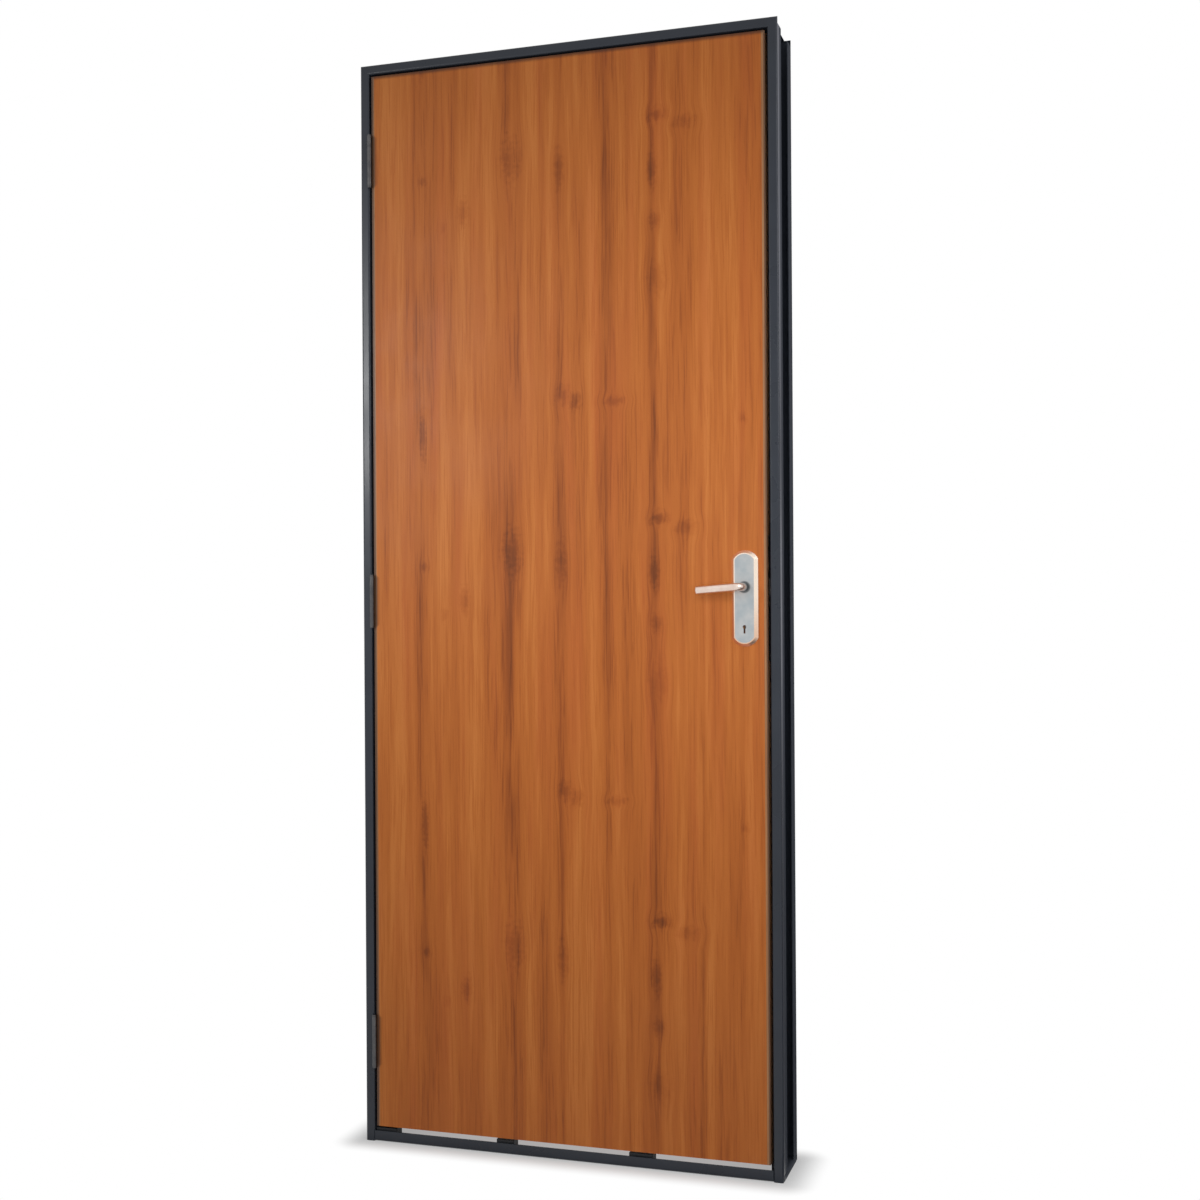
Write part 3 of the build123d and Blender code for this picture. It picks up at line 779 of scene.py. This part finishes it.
def lipping_finish():
    """Paler lacquered solid wood with straight close grain."""
    material, tree, shader, point = new_finish("edge strip finish")
    grain = place_group(tree, GRAIN, Point=point, Spacing=0.0035, Length=0.30)
    tone = weighed(tree, 0.2, (grain["Lines"], 0.6), (grain["Fine"], 0.2))
    colour = ramp(tree, tone, LIPPING_TONES)
    colour = blended(tree, maths(tree, "MULTIPLY", grain["Pores"], 0.45), colour, PORE_TONE)
    x, y, z = split_xyz(tree, point)
    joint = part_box("lipping_lock_edge")[0].x
    from_joint = maths(tree, "ABSOLUTE", maths(tree, "SUBTRACT", maths(tree, "ABSOLUTE", x), joint))
    glue = spread(tree, from_joint, 0.0, GLUE_WIDTH, GLUE_SHARE, 0.0)
    colour = blended(tree, glue, colour, GLUE_TONE)
    # Painted shade: on their front face the strips darken like the veneer near the leaf's edges; their sides
    # keep the plain colour.
    front = spread(tree, y, leaf_front, leaf_front + FRONT_BAND, 1.0, 0.0)
    shaded = painted_edge_shade(tree, point, colour)
    feed(tree, shader.inputs["Base Color"], blended(tree, front, colour, shaded))
    feed(tree, shader.inputs["Roughness"], weighed(tree, STRIP_ROUGH, (grain["Pores"], 0.15)))
    shader.inputs["Specular IOR Level"].default_value = STRIP_SHINE
    raise_surface(tree, shader, grain["Fine"], strength=0.3, distance=0.0001)
    return material


finishes["lipping_wood"] = lipping_finish()
print("edge strips with a glue line", GLUE_WIDTH * 1000, "mm wide")

# %% [markdown]
# Softwood stiles and rails show only at the top and bottom edges of the leaf, planed but left bare. Their
# grain is wide and pale. The filling between them is pressed chips: a cell texture gives each chip its own
# tone, and each dips a little toward its middle.

# %% Wood inside the leaf
SOFTWOOD_TONES = ((0.0, tint(176, 132, 84)), (0.6, tint(214, 176, 124)), (1.0, tint(228, 196, 148)))
CHIP_TONES = ((0.0, tint(132, 100, 66)), (0.5, tint(182, 148, 104)), (1.0, tint(212, 182, 138)))
CHIP_SCALE = 320.0
SOFTWOOD_ROUGH = 0.65
CHIP_ROUGH = 0.7


def softwood_finish():
    """Planed softwood, pale, with wide grain."""
    material, tree, shader, point = new_finish("softwood finish")
    grain = place_group(tree, GRAIN, Point=point, Spacing=0.008, Length=0.5)
    tone = weighed(tree, 0.0, (grain["Lines"], 0.7), (grain["Fine"], 0.3))
    feed(tree, shader.inputs["Base Color"], ramp(tree, tone, SOFTWOOD_TONES))
    feed(tree, shader.inputs["Roughness"], weighed(tree, SOFTWOOD_ROUGH, (grain["Fine"], 0.15)))
    raise_surface(tree, shader, grain["Fine"], strength=0.4, distance=0.0003)
    return material


def core_finish():
    """Pressed wood chips."""
    material, tree, shader, point = new_finish("pressed chip finish")
    cells = node(tree, "ShaderNodeTexVoronoi")
    feed(tree, cells.inputs["Vector"], point)
    cells.inputs["Scale"].default_value = CHIP_SCALE
    tone = split_xyz(tree, cells.outputs["Color"])[0]
    feed(tree, shader.inputs["Base Color"], ramp(tree, tone, CHIP_TONES))
    feed(tree, shader.inputs["Roughness"], weighed(tree, CHIP_ROUGH, (tone, 0.2)))
    raise_surface(tree, shader, cells.outputs["Distance"], strength=0.5, distance=0.0006)
    return material


finishes["softwood"] = softwood_finish()
finishes["core_board"] = core_finish()
print("softwood, and pressed chips of", round(1000 / CHIP_SCALE, 1), "mm")

# %% [markdown]
# The frame is pressed steel under a dark blue-grey semi-gloss paint. Sprayed paint has a faint skin like
# an orange, so a fine noise lifts it slightly. Its corners are mitred and welded, then ground smooth and
# painted over: a hairline is all that is left, and it is drawn from the distance to the mitre's plane. On
# the sharpest edges the paint has thinned. Toward the wall the spray was thinner too, so the paint is duller
# there than on the side that is seen when the door is shut.

# %% Painted steel
PAINT_TONES = (tint(37, 42, 51), tint(43, 48, 57))
THIN_PAINT = tint(112, 118, 126)
MITRE_TONE = tint(26, 29, 35)
MITRE_WIDTH = 0.0005
SKIN_SCALE = 900.0
WALL_SIDE = (-0.010, 0.010)
WALL_DULL = 0.52
PAINT_ROUGH = 0.26
PAINT_SHINE = 0.34


def mitre_line(tree, point):
    """1 on the two mitre planes at the top corners, and 0 elsewhere."""
    x, y, z = split_xyz(tree, point)
    outward = maths(tree, "SUBTRACT", maths(tree, "ABSOLUTE", x), rebate_side)
    upward = maths(tree, "SUBTRACT", z, rebate_top)
    off_plane = maths(tree, "ABSOLUTE", maths(tree, "SUBTRACT", outward, upward))
    return spread(tree, off_plane, 0.0, MITRE_WIDTH, 1.0, 0.0)


def paint_finish():
    """Dark blue-grey semi-gloss paint on pressed steel."""
    material, tree, shader, point = new_finish("frame paint finish")
    worn = place_group(tree, RUBBED, Point=point, Scratch=0.004, Run=0.3, Patch=0.12)
    edge = place_group(tree, EDGES, Point=point, Width=0.0007, Ragged=90.0)
    colour = blended(tree, worn["Patches"], *PAINT_TONES)
    colour = blended(tree, maths(tree, "MULTIPLY", edge["Edge"], 0.30), colour, THIN_PAINT)
    line = mitre_line(tree, point)
    colour = blended(tree, maths(tree, "MULTIPLY", line, 0.7), colour, MITRE_TONE)
    feed(tree, shader.inputs["Base Color"], colour)
    wall_side = spread(tree, split_xyz(tree, point)[1], *WALL_SIDE)
    dull = weighed(tree, PAINT_ROUGH, (wall_side, WALL_DULL), (worn["Patches"], 0.06))
    feed(tree, shader.inputs["Roughness"], dull)
    shader.inputs["Specular IOR Level"].default_value = PAINT_SHINE
    skin = noise(tree, point, SKIN_SCALE, 2.0)
    height = weighed(tree, skin, (line, -2.0))
    raise_surface(tree, shader, height, strength=0.2, distance=0.00008)
    return material


finishes["frame_paint"] = paint_finish()
print("frame paint, mitre lines at", round(rebate_side, 4), "across and", round(rebate_top, 4), "up")

# %% [markdown]
# The lever and its plates are satin plated. The flat of a plate is rubbed, while its rim is polished bright.
# One finish can show both if it knows where the rim is: the distance to the plate's outline, worked out from
# its width and its rounded ends, tells rim from flat. The collar round the spindle is darker with painted
# shade and a painted dark reflection, so a second mask measures the distance to the spindle and the height
# above the door.

# %% Masks for the plate's rim and the spindle's collar
RIM_WIDTH = (0.0062, 0.0078)
PLATE_END_RADIUS = 0.0275
COLLAR_RADIUS = (0.0095, 0.0125)
COLLAR_HEIGHT = (0.014, 0.024)


def collar_shade_mask(tree, point):
    """1 on the collar round the spindle, which gets painted shade and a painted dark reflection, and 0
    elsewhere.
    """
    x, y, z = split_xyz(tree, point)
    across = maths(tree, "SUBTRACT", x, spindle_centre.x)
    up = maths(tree, "SUBTRACT", z, spindle_centre.z)
    distance = vectors(tree, "LENGTH", join_xyz(tree, across, 0.0, up))
    close = spread(tree, distance, *COLLAR_RADIUS, 1.0, 0.0)
    outward = maths(tree, "SUBTRACT", maths(tree, "ABSOLUTE", y), leaf_back)
    return maths(tree, "MULTIPLY", close, spread(tree, outward, *COLLAR_HEIGHT, 1.0, 0.0))


def inside_rim(tree, point):
    """1 on the flat inside the plate's polished rim, and 0 on the rim, by the distance to its outline."""
    x, y, z = split_xyz(tree, point)
    half_width = (plate_high.x - plate_low.x) / 2
    straight = (plate_high.z - plate_low.z) / 2 - PLATE_END_RADIUS
    across = maths(tree, "SUBTRACT", x, (plate_low.x + plate_high.x) / 2)
    up = maths(tree, "ABSOLUTE", maths(tree, "SUBTRACT", z, (plate_low.z + plate_high.z) / 2))
    past = maths(tree, "MAXIMUM", maths(tree, "SUBTRACT", up, straight), 0.0)
    from_side = maths(tree, "SUBTRACT", half_width, maths(tree, "ABSOLUTE", across))
    from_middle = vectors(tree, "LENGTH", join_xyz(tree, across, past, 0.0))
    from_end = maths(tree, "SUBTRACT", PLATE_END_RADIUS, from_middle)
    return spread(tree, maths(tree, "MINIMUM", from_side, from_end), *RIM_WIDTH)


print("rim mask", RIM_WIDTH[0] * 1000, "mm wide, collar mask", COLLAR_RADIUS[1] * 2000, "mm across")

# %% [markdown]
# The plate's flat looks pale and slightly blue. Its rim is smoother, and its colour carries a painted warm
# reflection of the wood, with painted light making it paler toward the top. The lever is a round bar with the
# same plating, and its colour carries a painted warm reflection of the wood too. Apart from these painted
# reflections both are metals whose colour is the plating's, and fine scratches make their polish uneven.

# %% Satin plate and lever
SATIN_TONE = tint(170, 178, 182)
BRIGHT_TONE = tint(244, 232, 222)
LEVER_PLATING_AND_REFLECTION = tint(222, 199, 186)
RIM_PAINTED_REFLECTION_TONES = (tint(226, 188, 162), tint(246, 228, 210))
COLLAR_PAINTED_SHADE = tint(112, 116, 118)
FLAT_RANGE = (0.90, 0.995)
RIM_ROUGH = 0.16
SATIN_ROUGH = 0.27
LEVER_ROUGH = 0.24
SCRATCH_ROUGH = 0.10


def plate_finish():
    """Satin flat face; a bright rim with a painted warm reflection of the wood and painted light toward the
    top.
    """
    material, tree, shader, point = new_finish("backplate finish")
    normal = node(tree, "ShaderNodeNewGeometry").outputs["Normal"]
    facing = maths(tree, "ABSOLUTE", split_xyz(tree, normal)[1])
    flat = maths(tree, "MULTIPLY", spread(tree, facing, *FLAT_RANGE), inside_rim(tree, point))
    # Painted light and painted reflection: the rim grows paler from the plate's bottom up to the spindle, and
    # its warm tones stand for the wood's reflection.
    painted_light_share = spread(tree, split_xyz(tree, point)[2], plate_low.z, spindle_centre.z)
    rim = blended(tree, painted_light_share, *RIM_PAINTED_REFLECTION_TONES)
    rubbed = place_group(tree, RUBBED, Point=point, Scratch=0.00025, Run=0.02, Patch=0.03)
    satin = blended(tree, maths(tree, "MULTIPLY", rubbed["Patches"], 0.25), SATIN_TONE, BRIGHT_TONE)
    colour = blended(tree, flat, rim, satin)
    # Painted shade and a painted dark reflection darken the collar round the spindle.
    feed(tree, shader.inputs["Base Color"], blended(tree, collar_shade_mask(tree, point), colour, COLLAR_PAINTED_SHADE))
    shader.inputs["Metallic"].default_value = 1.0
    uneven = weighed(tree, SATIN_ROUGH, (rubbed["Scratches"], SCRATCH_ROUGH))
    feed(tree, shader.inputs["Roughness"], spread(tree, flat, 0.0, 1.0, RIM_ROUGH, uneven))
    height = maths(tree, "MULTIPLY", rubbed["Scratches"], flat)
    raise_surface(tree, shader, height, strength=0.25, distance=0.00003)
    return material


def lever_finish():
    """Round plated bar, a little brighter than the plate, with a painted warm reflection of the wood in its
    colour; its scratches run along the grip.
    """
    material, tree, shader, point = new_finish("lever finish")
    x, y, z = split_xyz(tree, point)
    along = join_xyz(tree, z, y, x)
    rubbed = place_group(tree, RUBBED, Point=along, Scratch=0.0003, Run=0.03, Patch=0.02)
    # The lever's warm colour holds a painted reflection of the wood.
    colour = blended(tree, maths(tree, "MULTIPLY", rubbed["Patches"], 0.5), LEVER_PLATING_AND_REFLECTION, BRIGHT_TONE)
    # Painted shade and a painted dark reflection darken the collar round the spindle.
    feed(tree, shader.inputs["Base Color"], blended(tree, collar_shade_mask(tree, point), colour, COLLAR_PAINTED_SHADE))
    shader.inputs["Metallic"].default_value = 1.0
    feed(tree, shader.inputs["Roughness"], weighed(tree, LEVER_ROUGH, (rubbed["Scratches"], SCRATCH_ROUGH)))
    raise_surface(tree, shader, rubbed["Scratches"], strength=0.15, distance=0.00002)
    return material


finishes["satin_chrome"] = plate_finish()
lever_metal = lever_finish()
print("plate metal and", lever_metal.name)

# %% [markdown]
# The other metals are plainer: rolled steel hinges, the lock's plates and case, and zinc-coated sheet
# behind the keep. They share one recipe with different colours and scratches. Zinc adds its own spangle, a
# cell pattern in which each crystal reflects a little differently.

# %% Plain metals
PLAIN_METALS = {
    "hinge_steel": {"tone": tint(76, 76, 78), "worn": tint(118, 116, 114), "rough": 0.40, "run": 0.02},
    "lock_steel": {"tone": tint(168, 162, 152), "worn": tint(206, 202, 196), "rough": 0.30, "run": 0.04},
}
ZINC_TONES = ((0.0, tint(150, 155, 160)), (1.0, tint(190, 195, 200)))
SPANGLE_SCALE = 110.0
ZINC_ROUGH = 0.38


def metal_finish(name, tone, worn, rough, run):
    """Rubbed bare metal with brighter worn edges."""
    material, tree, shader, point = new_finish(name)
    rubbed = place_group(tree, RUBBED, Point=point, Scratch=0.0003, Run=run, Patch=0.015)
    edge = place_group(tree, EDGES, Point=point, Width=0.0004, Ragged=200.0)
    share = weighed(tree, 0.0, (edge["Edge"], 0.6), (rubbed["Patches"], 0.3))
    feed(tree, shader.inputs["Base Color"], blended(tree, share, tone, worn))
    shader.inputs["Metallic"].default_value = 1.0
    feed(tree, shader.inputs["Roughness"], weighed(tree, rough, (rubbed["Scratches"], 0.14)))
    raise_surface(tree, shader, rubbed["Scratches"], strength=0.2, distance=0.00003)
    return material


def zinc_finish():
    """Zinc-coated sheet with a faint spangle."""
    material, tree, shader, point = new_finish("zinc finish")
    cells = node(tree, "ShaderNodeTexVoronoi")
    feed(tree, cells.inputs["Vector"], point)
    cells.inputs["Scale"].default_value = SPANGLE_SCALE
    tone = split_xyz(tree, cells.outputs["Color"])[1]
    feed(tree, shader.inputs["Base Color"], ramp(tree, tone, ZINC_TONES))
    shader.inputs["Metallic"].default_value = 1.0
    feed(tree, shader.inputs["Roughness"], weighed(tree, ZINC_ROUGH, (tone, 0.2)))
    raise_surface(tree, shader, tone, strength=0.1, distance=0.00003)
    return material


for slot_name, values in PLAIN_METALS.items():
    finishes[slot_name] = metal_finish(slot_name.replace("_", " ") + " finish", **values)
finishes["galvanised_steel"] = zinc_finish()
print("plain metals", sorted(PLAIN_METALS))

# %% [markdown]
# Two soft dark materials are left: the moulded packers under the leaf and the rubber buffers on the stop.
# Moulded plastic has a fine even grain. Rubber is smoother, duller, and holds a little dust.

# %% Plastic and rubber
PACKER_TONES = (tint(30, 31, 33), tint(40, 41, 44))
RUBBER_TONES = (tint(24, 24, 25), tint(52, 51, 50))
MOULDED_SHINE = 0.35


def moulded_finish(name, tones, rough, grain_scale):
    """Dark moulded material with a fine grain and a little dust."""
    material, tree, shader, point = new_finish(name)
    worn = place_group(tree, RUBBED, Point=point, Scratch=0.001, Run=0.01, Patch=0.012)
    feed(tree, shader.inputs["Base Color"], blended(tree, worn["Patches"], *tones))
    feed(tree, shader.inputs["Roughness"], weighed(tree, rough, (worn["Patches"], 0.15)))
    shader.inputs["Specular IOR Level"].default_value = MOULDED_SHINE
    raise_surface(tree, shader, noise(tree, point, grain_scale, 2.0), strength=0.4, distance=0.0001)
    return material


finishes["packer_plastic"] = moulded_finish("packer finish", PACKER_TONES, rough=0.45, grain_scale=1400.0)
finishes["buffer_rubber"] = moulded_finish("buffer finish", RUBBER_TONES, rough=0.6, grain_scale=700.0)
print("dark finishes", [finishes[name].name for name in ("packer_plastic", "buffer_rubber")])

# %% [markdown]
# Each loaded piece names the kind of finish that it needs, so one loop dresses them all. The two levers
# are the exception: they take the round bar's finish instead of the plate's.

# %% Dress the loaded pieces
def dress(name, piece):
    """Puts the right finish in each slot of a loaded piece."""
    for slot in piece.material_slots:
        wanted = slot.material.name
        slot.material = lever_metal if name.startswith("lever_") else finishes[wanted]


for node_name, loaded_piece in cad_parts.items():
    dress(node_name, loaded_piece)
print("dressed", len(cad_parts), "pieces with", len(finishes) + 1, "finishes")

# %% [markdown]
# Screws are small, but a door without them looks unfinished as soon as it opens. Three helpers make them:
# one turns a short outline round an axis, as a lathe does, one makes a square block, and one cuts a shape
# out of another with a boolean and hands back the mesh, so that it can be used again.

# %% Helpers for turning and cutting
def turned(outline, segments):
    """A mesh turned round the third axis from an outline of radius and height pairs."""
    mesh = bmesh.new()
    rings = []
    for radius, height in outline:
        if radius == 0:
            rings.append([mesh.verts.new((0, 0, height))])
            continue
        angles = [2 * pi * step / segments for step in range(segments)]
        rings.append([mesh.verts.new((radius * cos(a), radius * sin(a), height)) for a in angles])
    for below, above in zip(rings, rings[1:]):
        for step in range(segments):
            after = (step + 1) % segments
            if len(below) == 1:
                mesh.faces.new((below[0], above[after], above[step]))
            elif len(above) == 1:
                mesh.faces.new((below[step], below[after], above[0]))
            else:
                mesh.faces.new((below[step], below[after], above[after], above[step]))
    bmesh.ops.recalc_face_normals(mesh, faces=mesh.faces)
    return mesh


def box_mesh(size, place=(0, 0, 0)):
    """A square block as a bmesh, for cutting."""
    mesh = bmesh.new()
    bmesh.ops.create_cube(mesh, size=1.0)
    bmesh.ops.scale(mesh, verts=mesh.verts, vec=size)
    bmesh.ops.translate(mesh, verts=mesh.verts, vec=place)
    return mesh


def cut(piece, cutter):
    """The mesh of a piece after another has been cut from it; both are removed."""
    change = piece.modifiers.new("cut", "BOOLEAN")
    change.operation = "DIFFERENCE"
    change.solver = "EXACT"
    change.object = cutter
    seen = piece.evaluated_get(bpy.context.evaluated_depsgraph_get())
    data = bpy.data.meshes.new_from_object(seen)
    for used in (piece, cutter):
        bpy.data.objects.remove(used)
    return data


print("turning and cutting ready")

# %% [markdown]
# One head is modelled with care: a shallow dome with a rounded rim, and a cross-shaped recess cut by two
# blocks. Its outline is drawn in shares of its radius, dome and depth, so one recipe gives the large heads
# of the hinges and the smaller ones of the lock.

# %% Screw heads
HEAD_SEGMENTS = 32
RECESS_ARM = 0.62
RECESS_WIDTH = 0.2
RECESS_DEPTH = 0.42
LARGE_HEAD = {"radius": 0.0039, "dome": 0.0003, "depth": 0.0016}
SMALL_HEAD = {"radius": 0.0032, "dome": 0.0003, "depth": 0.0014}


def screw_head(radius, dome, depth):
    """The mesh of one countersunk head: its flat rim is at height 0 and its dome stands above it."""
    outline = [
        (0, -depth),
        (0.45 * radius, -depth),
        (0.97 * radius, -0.08 * radius),
        (radius, 0),
        (0.96 * radius, 0.45 * dome),
        (0.75 * radius, 0.8 * dome),
        (0.4 * radius, 0.97 * dome),
        (0, dome),
    ]
    head = to_object(turned(outline, HEAD_SEGMENTS), "head")
    for wide, tall in ((RECESS_ARM, RECESS_WIDTH), (RECESS_WIDTH, RECESS_ARM)):
        arm = box_mesh((2 * wide * radius, 2 * tall * radius, 2 * RECESS_DEPTH * radius), (0, 0, dome))
        head = link_object(cut(head, to_object(arm, "arm")), "head")
    data = head.data
    bpy.data.objects.remove(head)
    return data


large_head = screw_head(**LARGE_HEAD)
small_head = screw_head(**SMALL_HEAD)
print("screw heads", len(large_head.polygons), "and", len(small_head.polygons), "faces")

# %% [markdown]
# A screw is placed by a point, the way that it faces and how far its cross is turned. No two real screws
# stop at the same turn, so the turns differ along the row by a fixed step. The dome is shaded smooth while
# the recess keeps its corners. All the heads of one kind are joined into one piece, which moves with its
# body. The hinge plates come first: each has four screws, in two columns, on the face toward its twin.

# %% Hinge screws
TURN_STEP = radians(37)
SHARP_ANGLE = radians(35)
HINGE_PLATE_DEPTH = 0.030
HINGE_PLATE_STEEL = 0.002
HINGE_ROWS = ((-0.034, 0.72), (-0.0115, 0.5), (0.0115, 0.72), (0.034, 0.5))
HEAD_LIFT = 0.00002


def set_in_place(name, head, places, body, slot):
    """Copies of one head at many places, joined into a piece that moves with a body."""
    joined = bmesh.new()
    for count, (place, facing) in enumerate(places):
        first = len(joined.verts)
        joined.from_mesh(head)
        joined.verts.ensure_lookup_table()
        turn = Matrix.Rotation(count * TURN_STEP, 4, "Z")
        way = Vector(facing).to_track_quat("Z", "Y").to_matrix().to_4x4()
        matrix = Matrix.Translation(place) @ way @ turn
        bmesh.ops.transform(joined, matrix=matrix, verts=joined.verts[first:])
    piece = to_object(joined, name)
    piece.data.shade_smooth()
    piece.data.set_sharp_from_angle(angle=SHARP_ANGLE)
    piece.data.materials.append(finishes[slot])
    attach(piece, body)
    print(name, "with", len(places), "heads")


def hinge_screw_places(half, carrier, inward):
    """Where the four screws of each hinge plate sit: the plate lies on its carrier and faces inward."""
    face_x = carrier + inward * (HINGE_PLATE_STEEL + HEAD_LIFT)
    places = []
    for hinge in hinge_names:
        low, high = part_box("hinge_" + hinge + "_" + half)
        middle = (low.z + high.z) / 2
        for height, share in HINGE_ROWS:
            across = high.y - HINGE_PLATE_DEPTH * (1 - share)
            places.append(((face_x, across, middle + height), (inward, 0, 0)))
    return places


jamb_places = hinge_screw_places("jamb_half", -rebate_side, 1)
leaf_places = hinge_screw_places("leaf_half", -leaf_edge, -1)
set_in_place("hinge_screws_jamb", large_head, jamb_places, "frame", "hinge_steel")
set_in_place("hinge_screws_leaf", large_head, leaf_places, "leaf", "hinge_steel")

# %% [markdown]
# The lock's face plate and the keep each have a screw near both ends. The backplates are held from the
# back of the door, where two small screws show on the plate's flat, above the lever and below the keyhole.

# %% Lock screws
END_MARGIN = 0.010
PLATE_SCREW_MARGIN = 0.015
PLATE_THICKNESS = 0.008
forend_middle = (forend_low + forend_high) / 2
keep_middle = (keep_low + keep_high) / 2
forend_places = [
    ((forend_high.x + HEAD_LIFT, forend_middle.y, height), (1, 0, 0))
    for height in (forend_low.z + END_MARGIN, forend_high.z - END_MARGIN)
]
keep_places = [
    ((keep_low.x - HEAD_LIFT, keep_middle.y, height), (-1, 0, 0))
    for height in (keep_low.z + END_MARGIN, keep_high.z - END_MARGIN)
]
plate_face = leaf_back + PLATE_THICKNESS
plate_places = [
    ((spindle_centre.x, plate_face + HEAD_LIFT, height), (0, 1, 0))
    for height in (plate_low.z + PLATE_SCREW_MARGIN, plate_high.z - PLATE_SCREW_MARGIN)
]
set_in_place("forend_screws", small_head, forend_places, "leaf", "lock_steel")
set_in_place("keep_screws", small_head, keep_places, "frame", "lock_steel")
set_in_place("backplate_screws", small_head, plate_places, "leaf", "satin_chrome")
